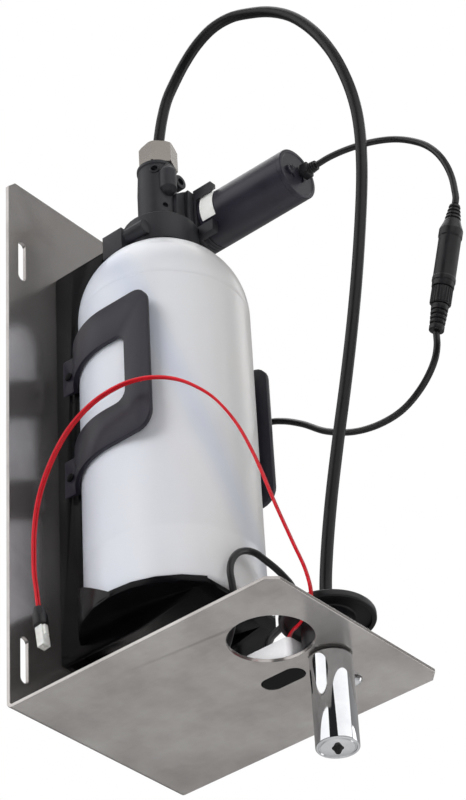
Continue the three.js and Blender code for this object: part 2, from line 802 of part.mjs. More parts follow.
// The collar sits over the neck, and its two lugs stand on the cage's side walls
function collarLug() {
  const out = -cageWidth / 2 - lugOut;
  const back = -sheet - fitGap - cageEarDepth - fitGap;
  const front = back - lugDepth;
  const stubSide = out + stubRadius + lugOut;
  const lug = block([out, front, level(lugBottomLevel)], [out + lugWidth, back, level(lugTopLevel)]);
  const stub = rod(stubRadius, 0, stubLength).rotateX(Math.PI / 2)
    .translate(stubSide, front + overrun, level(lugTopLevel - stubRadius + overrun / 2));
  return join(lug, stub);
}

function buildCollar() {
  const bottom = domeLevel(collarRadius);
  const shell = atBottle(turned([
    [spigotRadius + fitGap, collarRoof], [neckRadius + neckClearance, collarRoof],
    [neckRadius + neckClearance, bottom], [collarRadius, bottom],
    [collarRadius, collarTopLevel - overrun], [collarRadius - overrun, collarTopLevel],
    [spigotRadius + fitGap, collarTopLevel], [spigotRadius + fitGap, collarRoof],
  ], fineFacets));
  const bore = atBottle(rod(neckRadius + neckClearance, bottom - overrun, collarRoof, fineFacets));
  const lug = collarLug();
  const whole = cut(join(shell, lug, mirrored(lug)), bottleForm(runningGap), bore);
  piece('pump_collar', whole, pumpPlastic);
  const seal = pipe(gasketBore, neckRadius - fitGap, gasketBottom, gasketBottom + gasketThickness,
    roundFacets);
  piece('neck_gasket', atBottle(seal), rubber);
}

// The pump body holds the inlet ball below and the threaded outlet on top
function buildPumpBody() {
  const socket = dipTubeRadius + fitGap;
  const seat = spigotBottom + tubeSocketDepth;
  const chamberBottom = seat + seatThickness;
  const chamberTop = chamberBottom + 2 * ballRadius + ballTravel + chamberClearance;
  const chamber = ballRadius + chamberClearance;
  const skin = turned([
    [0, bodyBottom], [bodyRadius, bodyBottom], [bodyRadius, motorLevel + caseHalfHeight],
    [bodyTopRadius, bodyTop - bodyRimHeight], [bodyTopRadius + bodyRim, bodyTop - bodyRimHeight],
    [bodyTopRadius + bodyRim, bodyTop], [0, bodyTop],
  ], roundFacets).translate(-bodyShift, bodyShift, 0);
  const spigot = rod(spigotRadius, spigotBottom, bodyBottom + overrun, roundFacets);
  const nipple = rod(nippleRadius, bodyTop - overrun, bodyTop + nippleHeight, roundFacets)
    .translate(outletShift, -outletShift, 0);
  const inlet = turned([
    [0, spigotBottom - overrun], [socket, spigotBottom - overrun], [socket, seat], [seatRadius, seat],
    [seatRadius, chamberBottom], [chamber, chamberBottom], [chamber, chamberTop], [0, chamberTop],
  ], smallFacets);
  const hoseSocket = bodyTop + nippleHeight - nippleSocketDepth;
  const outlet = turned([
    [0, bodyTop - outletBoreDepth], [outletBore, bodyTop - outletBoreDepth], [outletBore, hoseSocket],
    [hoseRadius + hoseClearance, hoseSocket],
    [hoseRadius + hoseClearance, bodyTop + nippleHeight + overrun],
    [0, bodyTop + nippleHeight + overrun],
  ], smallFacets).translate(outletShift, -outletShift, 0);
  const bossTop = bodyTop - bossDrop;
  const bossFoot = bossTop - bossHeight;
  const boss = turned([
    [0, bossFoot - bossRadius], [bossRadius * Math.SQRT1_2, bossFoot - bossRadius / 2],
    [bossRadius, bossFoot], [bossRadius, bossTop], [0, bossTop + bossPeak],
  ], smallFacets).translate(bossOut * Math.cos(bossAngle), bossOut * Math.sin(bossAngle), 0);
  const ear = rod(earRadius, 0, earLength).rotateX(Math.PI / 2)
    .translate(earSide, -earForward + earLength / 2, bodyTop - earDrop);
  const earHole = rod(earRadius / 2, 0, earLength).rotateX(Math.PI / 2)
    .translate(earSide, -earForward, bodyTop - earDrop);
  const pit = rod(pitRadius, bodyRadius - pitDepth, bodyRadius + overrun).rotateY(Math.PI / 2)
    .rotateZ(pitAngle).translate(0, 0, bodyTop - pitDrop);
  const slot = rod(slotRadius, bodyRadius - pitDepth, bodyRadius + 2 * overrun).rotateY(Math.PI / 2)
    .rotateZ(slotAngle).translate(0, 0, bodyTop - slotDrop);
  const whole = cut(join(skin, spigot, nipple, boss, ear), inlet, outlet, earHole, pit, slot);
  piece('pump_body', atBottle(whole), pumpPlastic);
  const rest = chamberBottom + Math.sqrt(ballRadius ** 2 - seatRadius ** 2) + fitGap;
  const ball = new THREE.SphereGeometry(ballRadius, smallFacets, smallFacets / 2).translate(0, 0, rest);
  piece('inlet_ball', atBottle(ball), zincSteel);
}

function buildFitting() {
  const bottom = bodyTop + fitGap;
  const top = bottom + fittingNutHeight;
  const roof = top - fittingNutRoof;
  const hexagon = new THREE.CylinderGeometry(fittingNutRadius, fittingNutRadius, fittingNutHeight, hexSides)
    .rotateX(Math.PI / 2).rotateZ(Math.PI / 2 + fittingNutTurn).translate(0, 0, (bottom + top) / 2);
  const rounding = turned([
    [0, bottom - overrun], [fittingNutRadius + overrun, bottom - overrun],
    [fittingNutRadius + overrun, top - fittingNutChamfer], [fittingNutRadius - fittingNutChamfer, top],
    [0, top],
  ], roundFacets);
  const cavity = turned([
    [0, bottom - overrun], [nippleRadius + runningGap, bottom - overrun], [nippleRadius + runningGap, roof],
    [hoseRadius + hoseClearance, roof], [hoseRadius + hoseClearance, top + overrun], [0, top + overrun],
  ], roundFacets);
  piece('fitting_nut', atOutlet(cut(common(hexagon, rounding), cavity)), nickel);
  const ferruleBottom = bodyTop + nippleHeight + fitGap;
  const ferrule = pipe(hoseRadius + hoseClearance, hoseRadius + ferruleWall, ferruleBottom,
    ferruleBottom + ferruleHeight);
  piece('hose_ferrule', atOutlet(ferrule), nickel);
}

// Gear pair in the case behind the motor. In the pump group, local Z runs forward from the case.
function gearShape(bore, phase) {
  const pitch = (2 * Math.PI) / gearTeeth;
  const points = [];
  for (let tooth = 0; tooth < gearTeeth; tooth += 1) {
    const middle = tooth * pitch + phase;
    const corners = [
      [gearRootRadius, -toothRootShare], [gearTipRadius, -toothTipShare],
      [gearTipRadius, toothTipShare], [gearRootRadius, toothRootShare],
    ];
    for (const [radius, share] of corners) {
      const angle = middle + share * pitch;
      points.push([radius * Math.cos(angle), radius * Math.sin(angle)]);
    }
  }
  const shape = outline(points);
  shape.holes.push(new THREE.Path().absarc(0, 0, bore, 0, 2 * Math.PI, true));
  return shape;
}

function buildGearCase() {
  const left = -gearSpacing - caseReach;
  const box = join(block([left, -caseHalfHeight, 0], [0, caseHalfHeight, caseDepth]),
    rod(motorRadius, 0, caseDepth, fineFacets));
  const chamber = gearTipRadius + runningGap;
  const floor = caseDepth - gearChamberDepth;
  const tools = [
    rod(chamber, floor, caseDepth + overrun, roundFacets),
    rod(chamber, floor, caseDepth + overrun, roundFacets).translate(-gearSpacing, 0, 0),
    rod(pinRadius + fitGap, fitGap + overrun, caseDepth).translate(-gearSpacing, 0, 0),
    rod(shaftRadius + fitGap, floor - shaftBearing, caseDepth),
    bodyClear(),
    collarClear(),
    ...caseScrewPlaces().map(([x, y]) => rod(caseScrewShank + fitGap, overrun, caseDepth + overrun)
      .translate(x, y, 0)),
  ];
  piece('gear_case', cut(box, ...tools), pumpPlastic, pump);
  const gearStart = floor + fitGap;
  const drive = raised(gearShape(shaftRadius + fitGap, 0), gearStart, gearStart + gearWidth,
    smallFacets / 2);
  piece('drive_gear', drive, gearPlastic, pump);
  const halfTooth = Math.PI / gearTeeth;
  const driven = raised(gearShape(pinRadius + fitGap, halfTooth), gearStart, gearStart + gearWidth,
    smallFacets / 2);
  piece('driven_gear', driven.translate(-gearSpacing, 0, 0), gearPlastic, pump);
  const pin = rod(pinRadius, 2 * fitGap + overrun, caseDepth).translate(-gearSpacing, 0, 0);
  piece('driven_gear_pin', pin, zincSteel, pump);
}

function bodyClear() {
  const reach = caseHalfHeight + 2 * overrun;
  return rod(bodyRadius + fitGap, -reach, reach, roundFacets).rotateX(-Math.PI / 2)
    .translate(-motorSide - bodyShift, 0, bottleForward - caseForward - bodyShift);
}

function collarClear() {
  const reach = clampFoot + overrun;
  return rod(collarRadius + runningGap, -reach, bodyBottom - motorLevel, fineFacets)
    .rotateX(-Math.PI / 2).translate(-motorSide, 0, bottleForward - caseForward);
}

function caseScrewPlaces() {
  return [[1, 1], [-1, 1], [-1, -1], [1, -1]].map(([x, y]) => [x * caseScrewSide, y * caseScrewRise]);
}

// The cover closes the gear case, and the clamp in front of it holds the motor between two arms
function buildClamp() {
  const coverStart = caseDepth + fitGap;
  const clampStart = coverStart + coverThickness + fitGap;
  const clampEnd = clampStart + clampThickness;
  const left = -gearSpacing - caseReach;
  const hole = caseScrewShank + fitGap;
  const screwHoles = () => caseScrewPlaces().map(([x, y]) => rod(hole, 0, clampEnd + overrun)
    .translate(x, y, 0));
  const coverEnd = coverStart + coverThickness;
  const plate = join(block([left, -caseHalfHeight, coverStart], [0, caseHalfHeight, coverEnd]),
    rod(motorRadius, coverStart, coverEnd, fineFacets));
  const shaftHole = rod(shaftRadius + fitGap, 0, clampEnd + overrun);
  piece('gear_cover', cut(plate, shaftHole, bodyClear(), collarClear(), ...screwHoles()), pumpPlastic, pump);
  const base = join(block([-clampSide, -clampFoot, clampStart],
    [2 * clampArmSize - clampSide, clampTop, clampEnd]),
    rod(motorRadius, clampStart, clampEnd, fineFacets));
  const arms = [-clampFoot, clampTop - clampArmHeight].map((y) => block(
    [-clampSide, y, clampEnd - overrun],
    [clampArmSize - clampSide, y + clampArmHeight, clampEnd + clampArmLength],
  ));
  const tools = [
    rod(clampBore, clampStart - overrun, clampEnd + overrun, roundFacets),
    rod(labelRadius + fitGap, clampEnd, clampEnd + clampArmLength + overrun, fineFacets),
    collarClear(),
    ...screwHoles(),
  ];
  piece('motor_clamp', cut(join(base, ...arms), ...tools), pumpPlastic, pump);
}

// Screws hold the cover to the case under the clamp's plate, their heads in the clamp's bore
function buildCaseScrews() {
  const headBottom = caseDepth + coverThickness + clampThickness + 3 * fitGap;
  const profile = [
    [0, overrun + fitGap], [caseScrewShank, overrun + fitGap], [caseScrewShank, headBottom],
    [caseScrewHead, headBottom], [caseScrewHead, headBottom + caseScrewHeadHeight],
    [0, headBottom + caseScrewHeadHeight],
  ];
  caseScrewPlaces().forEach(([x, y], index) => {
    piece(`case_screw_${index + 1}`, turned(profile, smallFacets).translate(x, y, 0), zincSteel, pump);
  });
}

// Motor: steel can, end cap, two magnets, and the rotor that turns the drive gear
function motorStart() {
  return caseDepth + coverThickness + clampThickness + 4 * fitGap + caseScrewHeadHeight;
}

function buildMotor() {
  const start = motorStart();
  const end = start + motorLength;
  const inner = motorRadius - motorWall;
  const skirt = start - caseScrewHeadHeight - fitGap;
  const can = turned([
    [motorBearingRadius, start], [inner, start], [inner, skirt], [motorRadius, skirt],
    [motorRadius, end], [inner, end], [inner, start + motorWall], [motorBearingRadius, start + motorWall],
    [motorBearingRadius, start],
  ], fineFacets);
  piece('motor_can', can, motorBlack, pump);
  const capStart = end + fitGap;
  const capEnd = capStart + endCapThickness;
  const cap = turned([
    [0, capStart], [motorRadius, capStart], [motorRadius, capEnd - endCapRound],
    [motorRadius - endCapRound, capEnd], [0, capEnd],
  ], fineFacets);
  const terminal = rod(terminalRadius, capEnd - overrun, capEnd + terminalHeight)
    .translate(-terminalSide, -terminalDrop, 0);
  piece('motor_end_cap', join(cap, terminal), motorBlack, pump);
  const magnetZ = start + magnetStart;
  [0, Math.PI].forEach((turn, index) => {
    const shape = sector(inner - fitGap - magnetWall, inner - fitGap, turn - magnetHalfAngle,
      turn + magnetHalfAngle);
    const names = ['right', 'left'];
    piece(`motor_magnet_${names[index]}`, raised(shape, magnetZ, magnetZ + magnetLength), ferrite, pump);
  });
  const coreStart = magnetZ + rotorClearance;
  const coreEnd = coreStart + armatureLength;
  const shaftEnd = end - rotorClearance;
  piece('motor_shaft', rod(shaftRadius, caseDepth - gearChamberDepth - shaftBearing + fitGap, shaftEnd),
    zincSteel, pump);
  const core = pipe(shaftRadius + fitGap, armatureRadius, coreStart, coreEnd, roundFacets);
  piece('armature_core', core, copper, pump);
  const commutatorStart = coreEnd + fitGap;
  const commutator = pipe(shaftRadius + fitGap, commutatorRadius, commutatorStart,
    commutatorStart + commutatorLength);
  piece('commutator', commutator, copper, pump);
}

function buildMotorTrim() {
  const start = motorStart();
  const left = Math.PI;
  const shape = sector(labelRadius - labelThickness, labelRadius, left - labelHalfAngle,
    left + labelHalfAngle);
  const labelStart = start + endCapRound;
  piece('rating_label', raised(shape, labelStart, labelStart + labelLength), paper, pump);
  const glandStart = start + motorLength + endCapThickness + 2 * fitGap;
  const blockEnd = glandStart + glandBlock;
  const base = raised(roundedBox(-glandWidth / 2, -glandHeight / 2, glandWidth / 2, glandHeight / 2, overrun),
    glandStart, blockEnd);
  const taper = turned([
    [0, glandStart + overrun], [glandWidth / 2, glandStart + overrun], [glandWidth / 2, blockEnd],
    [glandEnd, blockEnd + glandTaper], [0, blockEnd + glandTaper],
  ], smallFacets);
  piece('motor_gland', join(base, taper).translate(glandSide, glandRise, 0), rubber, pump);
}

// Spout: chrome tube with a threaded shank, its gasket, nozzle and the large hand nut
function buildSpout() {
  const top = -spoutGasketThickness - 2 * fitGap;
  const bottom = top - spoutLength;
  const cavity = spoutRadius - spoutWall;
  const tube = turned([
    [nozzleRadius + fitGap, bottom], [spoutRadius - spoutEdge, bottom], [spoutRadius, bottom + spoutEdge],
    [spoutRadius, top], [shankRadius, top], [shankRadius, shankHeight], [shankBore, shankHeight],
    [shankBore, top - spoutWall], [cavity, top - spoutWall], [cavity, bottom + spoutFoot],
    [nozzleRadius + fitGap, bottom + spoutFoot], [nozzleRadius + fitGap, bottom],
  ], fineFacets);
  piece('spout_tube', atSpout(tube), chrome);
  const gasketTop = -fitGap;
  piece('spout_gasket', atSpout(pipe(shankRadius + fitGap, shankRadius + spoutGasketWidth,
    gasketTop - spoutGasketThickness, gasketTop, roundFacets)), rubber);
  const flangeBottom = bottom + spoutFoot + fitGap;
  const flangeTop = flangeBottom + nozzleFlangeHeight;
  const nozzle = turned([
    [nozzleBore, bottom - nozzleDrop], [nozzleTip, bottom - nozzleDrop], [nozzleRadius, bottom],
    [nozzleRadius, flangeBottom], [nozzleFlange, flangeBottom], [nozzleFlange, flangeTop],
    [nozzleBore, flangeTop], [nozzleBore, bottom - nozzleDrop],
  ], smallFacets);
  piece('spout_nozzle', atSpout(nozzle), rubber);
}

function buildSpoutNut() {
  const bottom = sheet + fitGap;
  const flange = bottom + spoutNutHubHeight;
  const top = flange + spoutNutFlange;
  const bore = shankRadius + runningGap;
  const nut = turned([
    [bore, bottom], [spoutNutHub, bottom], [spoutNutHub, flange + spoutNutDish],
    [spoutNutRadius - spoutNutRim, flange + spoutNutDish], [spoutNutRadius - spoutNutRim, flange],
    [spoutNutRadius, flange], [spoutNutRadius, top], [bore, top], [bore, bottom],
  ], fineFacets);
  piece('spout_nut', atSpout(nut), rubber);
}

// Sensor: window in the shelf's slot, housing on the shelf, board and two diodes inside
function atSensor(geometry) {
  return geometry.translate(sensorSide, -sensorForward, level(0));
}

function buildSensor() {
  const lipBottom = sheet + fitGap;
  const lipTop = lipBottom + windowLipHeight;
  const lens = raised(slotShape(0, 0, windowLength - 2 * fitGap, windowWidth - 2 * fitGap), fitGap,
    lipBottom + overrun / 2);
  const lip = raised(slotShape(0, 0, windowLength + windowLip, windowWidth + windowLip), lipBottom, lipTop);
  piece('sensor_window', atSensor(join(lens, lip)), windowPlastic);
  const [halfX, halfY] = [housingWidth / 2, housingLength / 2];
  const houseTop = lipBottom + housingHeight;
  const outer = raised(roundedBox(-halfX, -halfY, halfX, halfY, housingCorner), lipBottom, houseTop);
  const cavity = raised(roundedBox(housingWall - halfX, housingWall - halfY, halfX - housingWall,
    halfY - housingWall, housingCorner / 2), lipBottom - overrun, houseTop - housingWall);
  piece('sensor_housing', atSensor(cut(outer, cavity)), housingPlastic);
  const inset = housingWall + 2 * fitGap;
  const boardBottom = lipTop + boardLift;
  const board = block([inset - halfX, inset - halfY, boardBottom],
    [halfX - inset, halfY - inset, boardBottom + boardThickness]);
  piece('sensor_board', atSensor(board), boardGreen);
  const diodeTop = boardBottom - fitGap;
  const diode = [
    [0, diodeTop - diodeHeight - diodeRadius / 2], [diodeRadius * Math.SQRT1_2, diodeTop - diodeHeight],
    [diodeRadius, diodeTop - diodeHeight / 2], [diodeRadius, diodeTop], [0, diodeTop],
  ];
  piece('ir_emitter', atSensor(turned(diode, smallFacets).translate(0, diodeSpread, 0)), windowPlastic);
  piece('ir_receiver', atSensor(turned(diode, smallFacets).translate(0, -diodeSpread, 0)), windowPlastic);
}

function buildEarthScrew() {
  const nutTop = sheet + fitGap + earthNutHeight;
  const screw = turned([
    [0, -fitGap - earthHeadHeight], [earthHead * Math.SQRT1_2, -fitGap - earthHeadHeight * Math.SQRT1_2],
    [earthHead, -fitGap - earthHeadHeight * (1 - Math.SQRT1_2)], [earthHead, -fitGap],
    [earthShank, -fitGap], [earthShank, nutTop + earthTail], [0, nutTop + earthTail],
  ], smallFacets);
  piece('earth_screw', screw.translate(earthSide, -earthForward, level(0)), chrome);
  const hexagon = new THREE.CylinderGeometry(earthNut, earthNut, earthNutHeight, hexSides)
    .rotateX(Math.PI / 2).translate(0, 0, nutTop - earthNutHeight / 2);
  const nut = cut(hexagon, rod(earthShank + fitGap, 0, nutTop + overrun));
  piece('earth_nut', nut.translate(earthSide, -earthForward, level(0)), zincSteel);
}

// A round section, off the route by an offset, swept along a route of points
function swept(route, radius, sides, steps, offset = 0) {
  const path = new THREE.CatmullRomCurve3(route.map((point) => new THREE.Vector3(...point)), false,
    'centripetal');
  const section = [];
  for (let side = 0; side < sides; side += 1) {
    const angle = (side / sides) * 2 * Math.PI;
    section.push([offset + radius * Math.cos(angle), radius * Math.sin(angle)]);
  }
  const settings = { steps, extrudePath: path, bevelEnabled: false };
  return new THREE.ExtrudeGeometry(outline(section), settings);
}

function buildCords() {
  piece('soap_hose', swept(hoseRoute, hoseRadius, hoseSides, hoseSteps), cableBlack);
  piece('motor_lead', swept(motorLeadRoute, leadRadius, cordSides, motorLeadSteps), cableBlack);
  piece('sensor_lead', swept(sensorLeadRoute, leadRadius, cordSides, sensorLeadSteps), cableBlack);
  const wires = { a: -wireOffset, b: wireOffset };
  for (const [name, offset] of Object.entries(wires)) {
    const wire = swept(redWireRoute, wireRadius, cordSides, redWireSteps, offset);
    piece(`red_wire_${name}`, wire, wireRed);
  }
}

// Inline connector between the motor's lead and the sensor's lead. Local Z runs down its axis.
function buildPlug() {
  const shoulder = bootLength + socketShoulder;
  const socketEnd = bootLength + socketLength;
  const socket = turned([
    [0, fitGap], [bootRadius, fitGap], [bootBase, bootLength], [socketRadius, shoulder],
    [socketRadius, shoulder + socketShoulder], [socketEndRadius, socketEnd], [0, socketEnd],
  ], roundFacets);
  piece('lead_socket', socket, rubber, plug);
  const nutStart = socketEnd + fitGap;
  const nutEnd = nutStart + couplingLength;
  const rim = [];
  for (let rib = 0; rib < 2 * couplingRibs; rib += 1) {
    const angle = (rib / couplingRibs) * Math.PI;
    const radius = couplingRadius - (rib % 2) * couplingRibDepth;
    rim.push([radius * Math.cos(angle), radius * Math.sin(angle)]);
  }
  const ring = outline(rim);
  ring.holes.push(new THREE.Path().absarc(0, 0, plugCore + fitGap, 0, 2 * Math.PI, true));
  piece('coupling_nut', raised(ring, nutStart, nutEnd, smallFacets), rubber, plug);
  const bootStart = nutEnd + fitGap;
  const bootEnd = bootStart + plugBootLength;
  const grooves = [];
  const grooveShares = [0.2, 0.42, 0.64];
  for (const share of grooveShares) {
    const at = bootStart + share * plugBootLength;
    const radius = plugBootRadius + share * (plugBootEnd - plugBootRadius);
    grooves.push([radius, at], [radius - plugGroove, at], [radius - plugGroove, at + plugGroove],
      [radius, at + plugGroove]);
  }
  const core = turned([
    [0, nutStart], [plugCore, nutStart], [plugCore, bootStart], [plugBootRadius, bootStart], ...grooves,
    [plugBootEnd, bootEnd], [0, bootEnd],
  ], roundFacets);
  piece('lead_plug', core, rubber, plug);
}

// Small white connector on the free end of the red wires, with its sleeve
function buildWireEnd() {
  const [halfX, halfY] = [connectorWidth / 2, connectorDepth / 2];
  const shell = block([-halfX, -halfY, 0], [halfX, halfY, connectorHeight]);
  const key = block([-halfX / 2, -halfY - connectorKey, connectorHeight / 2],
    [halfX / 2, -halfY + connectorKey, connectorHeight]);
  const slots = [-1, 1].map((side) => {
    const middle = side * (halfX / 2);
    return block([middle - contactSlot, -contactSlot, -overrun],
      [middle + contactSlot, contactSlot, contactSlotDepth]);
  });
  piece('wire_connector', cut(join(shell, key), ...slots), whiteNylon, wireEnd);
  const sleeveBottom = connectorHeight + fitGap;
  const sleeve = turned([
    [0, sleeveBottom], [sleeveRadius, sleeveBottom], [sleeveRadius, sleeveBottom + sleeveHeight / 2],
    [sleeveTopRadius, sleeveBottom + sleeveHeight], [0, sleeveBottom + sleeveHeight],
  ], smallFacets);
  piece('wire_sleeve', sleeve, rubber, wireEnd);
}

buildBracket();
buildCage();
buildArms();
buildCageScrews();
buildBottle();
buildCollar();
buildPumpBody();
buildFitting();
buildGearCase();
buildClamp();
buildCaseScrews();
buildMotor();
buildMotorTrim();
buildSpout();
buildSpoutNut();
buildSensor();
buildEarthScrew();
buildCords();
buildPlug();
buildWireEnd();

export default part;
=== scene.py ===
# %% [markdown]
# # Automatic soap dispenser
# This lesson dresses a finished CAD model of a soap dispenser that is fitted behind a mirror. A
# bent steel bracket carries a bottle in a black cage, and a small gear pump on the bottle's neck
# sends soap through a hose to the chrome spout below the shelf. The CAD model is loaded as a
# fixed frame, and every piece that is made here is put where the CAD model says.

import math

import bmesh
import bpy
from mathutils import Matrix, Vector


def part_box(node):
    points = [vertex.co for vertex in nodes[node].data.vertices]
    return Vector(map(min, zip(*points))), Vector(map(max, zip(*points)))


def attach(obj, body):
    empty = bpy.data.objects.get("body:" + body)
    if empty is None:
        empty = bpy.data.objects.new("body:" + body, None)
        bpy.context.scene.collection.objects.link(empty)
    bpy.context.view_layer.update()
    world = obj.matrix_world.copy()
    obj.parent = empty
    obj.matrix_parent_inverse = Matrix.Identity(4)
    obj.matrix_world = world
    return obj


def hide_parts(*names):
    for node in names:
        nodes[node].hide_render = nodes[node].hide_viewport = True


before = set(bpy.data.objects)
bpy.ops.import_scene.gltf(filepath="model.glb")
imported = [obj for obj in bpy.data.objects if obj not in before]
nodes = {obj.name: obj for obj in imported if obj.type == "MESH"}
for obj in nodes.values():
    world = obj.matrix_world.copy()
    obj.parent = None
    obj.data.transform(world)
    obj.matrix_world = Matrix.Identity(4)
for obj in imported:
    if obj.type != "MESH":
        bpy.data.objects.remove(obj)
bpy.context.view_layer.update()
scene = bpy.context.scene

# %% [markdown]
# ## Units, places and small helpers
# Blender works in metres, but a maker thinks of this object in millimetres, so sizes below are in
# millimetres and each place scales them. A place is a matrix that moves a piece from its own axis
# to where the CAD model has it. It is applied to the mesh, so the object itself stays at the
# origin.

# %% Places
MM = 0.001
shelf_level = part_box("wall_bracket")[0].z / MM
PLUG_TOP, PLUG_LEAN = (30, -217.6, 69.5), 0.2777
WIRE_END, WIRE_LEAN = (-54, -18.4, -131.8), 0.139


def middle(node):
    low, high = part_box(node)
    return (low + high) / (2 * MM)


def levels(node):
    """A CAD node's lowest and highest level, counted from the shelf's underside."""
    return [corner.z / MM - shelf_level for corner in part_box(node)]


def place(x, y, z, turn=0.0):
    return Matrix.Scale(MM, 4) @ Matrix.Translation((x, y, z)) @ Matrix.Rotation(turn, 4, "X")


bottle_axis, nut_axis, spout_axis, sensor_axis, earth_axis = [
    middle(node).to_2d()
    for node in ("bottle", "fitting_nut", "spout_tube", "sensor_window", "earth_screw")]
AT_SHELF, AT_BOTTLE, AT_OUTLET, AT_SPOUT, AT_SENSOR, AT_EARTH = [
    place(*axis, shelf_level)
    for axis in ((0, 0), bottle_axis, nut_axis, spout_axis, sensor_axis, earth_axis)]
motor_axis = middle("motor_can")
case_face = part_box("gear_case")[1].y / MM
AT_PUMP = place(motor_axis.x, case_face, motor_axis.z, math.pi / 2)
AT_PLUG = place(*PLUG_TOP, math.pi + PLUG_LEAN)
AT_WIRE_END = place(*WIRE_END, -WIRE_LEAN)
print("shelf underside at", round(shelf_level, 2), "mm, bottle axis at", bottle_axis)

# %% [markdown]
# ## Mesh helpers
# Most parts of this object were turned, moulded or pressed. A turned part is drawn as half a
# section and spun, and each corner of the section may carry a small radius, because no real edge
# is perfectly sharp and a rounded edge is what catches the light. What the CAD model has already
# shaped is copied: faces that bend by less than FLAT degrees become one, and edges that bend by
# more than SHARP degrees are rounded.

# %% Mesh helpers
ARC_STEPS, EDGE_SHARE = 5, 0.48
FLAT, SHARP = 0.6, 34


def having(thing, **settings):
    """Sets several settings of a thing and gives it back."""
    for name, value in settings.items():
        setattr(thing, name, value)
    return thing


def add_object(name, data):
    made = bpy.data.objects.new(name, data)
    scene.collection.objects.link(made)
    return made


def add_spline(curve, points, **settings):
    spline = having(curve.splines.new("POLY"), **settings)
    spline.points.add(len(points) - 1)
    for point, spot in zip(spline.points, points):
        point.co = (*spot, 1)


def rounded(profile):
    """The section with each corner that has a third number, its radius, drawn as an arc."""
    points = []
    for index, (x, y, *radius) in enumerate(profile):
        here = Vector((x, y))
        if not radius:
            points.append(here)
            continue
        back = Vector(profile[index - 1][:2]) - here
        ahead = Vector(profile[(index + 1) % len(profile)][:2]) - here
        half = back.angle(ahead) / 2
        share = EDGE_SHARE * back.length, EDGE_SHARE * ahead.length
        reach = min(radius[0] / math.tan(half), *share)
        size = reach * math.tan(half)
        back.normalize()
        ahead.normalize()
        centre = here + (back + ahead).normalized() * size / math.sin(half)
        first, last = [(here + way * reach - centre).normalized() for way in (back, ahead)]
        for step in range(ARC_STEPS + 1):
            points.append(centre + first.slerp(last, step / ARC_STEPS) * size)
    return points


def new_piece(name, mesh):
    """A finished bmesh as an object at the origin."""
    data = bpy.data.meshes.new(name)
    mesh.to_mesh(data)
    mesh.free()
    return add_object(name, data)


def to_object(name, mesh, where):
    """The same, with its faces turned outwards and its place put into its mesh."""
    bmesh.ops.remove_doubles(mesh, verts=mesh.verts, dist=1e-5)
    bmesh.ops.recalc_face_normals(mesh, faces=mesh.faces)
    mesh.transform(where)
    return new_piece(name, mesh)


def polar(radius, turn):
    return radius * math.cos(turn), radius * math.sin(turn)


def smooth(piece, angle=32):
    piece.data.polygons.foreach_set("use_smooth", [True] * len(piece.data.polygons))
    piece.data.set_sharp_from_angle(angle=math.radians(angle))
    return piece


def turned(name, profile, where, facets=96, closed=False, swell=None):
    """A section of (radius, height) corners spun about Z. swell(angle, height) widens it."""
    mesh = bmesh.new()
    rings = []
    for radius, height in rounded(profile):
        ring = []
        for facet in range(1 if radius < 1e-6 else facets):
            angle = 2 * math.pi * facet / facets
            wide = radius + (swell(angle, height) if swell and radius > 1e-6 else 0)
            ring.append(mesh.verts.new((*polar(wide, angle), height)))
        rings.append(ring)
    for lower, upper in zip(rings, rings[1:] + rings[:1] if closed else rings[1:]):
        if len(lower) == len(upper) == 1:
            continue
        for facet in range(facets):
            corners = [ring[step % len(ring)] for ring, step in (
                (lower, facet), (lower, facet + 1), (upper, facet + 1), (upper, facet))]
            mesh.faces.new(list(dict.fromkeys(corners)))
    return smooth(to_object(name, mesh, where))


def raised(name, outline, bottom, top, where, edge=0.0, holes=()):
    """An outline of corners, with holes, given a thickness, and its edges rounded by edge."""
    curve = having(bpy.data.curves.new(name, "CURVE"), dimensions="2D", fill_mode="BOTH",
                   extrude=(top - bottom) / 2 - edge, bevel_depth=edge, bevel_resolution=2,
                   offset=-edge)
    for points in [outline, *holes]:
        add_spline(curve, [point.to_3d() for point in rounded(points)], use_cyclic_u=True)
    drawn = add_object(name, curve)
    flat = shown(drawn)
    bpy.data.objects.remove(drawn)
    mesh = bmesh.new()
    mesh.from_mesh(flat)
    bpy.data.meshes.remove(flat)
    mesh.transform(Matrix.Translation((0, 0, (top + bottom) / 2)))
    return smooth(to_object(name, mesh, where))


def shown(thing):
    """What an object shows, with its modifiers or its bevel, as a plain mesh."""
    bpy.context.view_layer.update()
    graph = bpy.context.evaluated_depsgraph_get()
    return bpy.data.meshes.new_from_object(thing.evaluated_get(graph))


def settle(piece):
    """Turns what the modifiers show into the piece's own mesh."""
    made = shown(piece)
    piece.modifiers.clear()
    return having(piece, data=made)


def combine(base, operation, *tools):
    """Joins tools to base, cuts them from it or keeps what they share."""
    for tool in tools:
        having(base.modifiers.new(operation, "BOOLEAN"), operation=operation, solver="EXACT",
               object=tool)
    settle(base)
    for tool in tools:
        bpy.data.objects.remove(tool)
    return base


def from_cad(node, name, width):
    """A copy of a CAD node with its triangles merged into whole faces and its edges rounded."""
    mesh = bmesh.new()
    mesh.from_mesh(nodes[node].data)
    bmesh.ops.remove_doubles(mesh, verts=mesh.verts, dist=1e-6)
    bmesh.ops.dissolve_limit(mesh, angle_limit=math.radians(FLAT), verts=mesh.verts,
                             edges=mesh.edges)
    piece = new_piece(name, mesh)
    having(piece.modifiers.new("edges", "BEVEL"), width=width * MM, segments=2,
           limit_method="ANGLE", angle_limit=math.radians(SHARP), use_clamp_overlap=True)
    return smooth(settle(piece))


print("mesh helpers ready")

# %% [markdown]
# ## Camera
# The photograph looks up at the dispenser from its lower left with a long lens, so that the shelf's
# underside and the bracket's inner face both show. The camera's place and its three directions
# were worked out from the straight edges of the bracket, whose size is known.

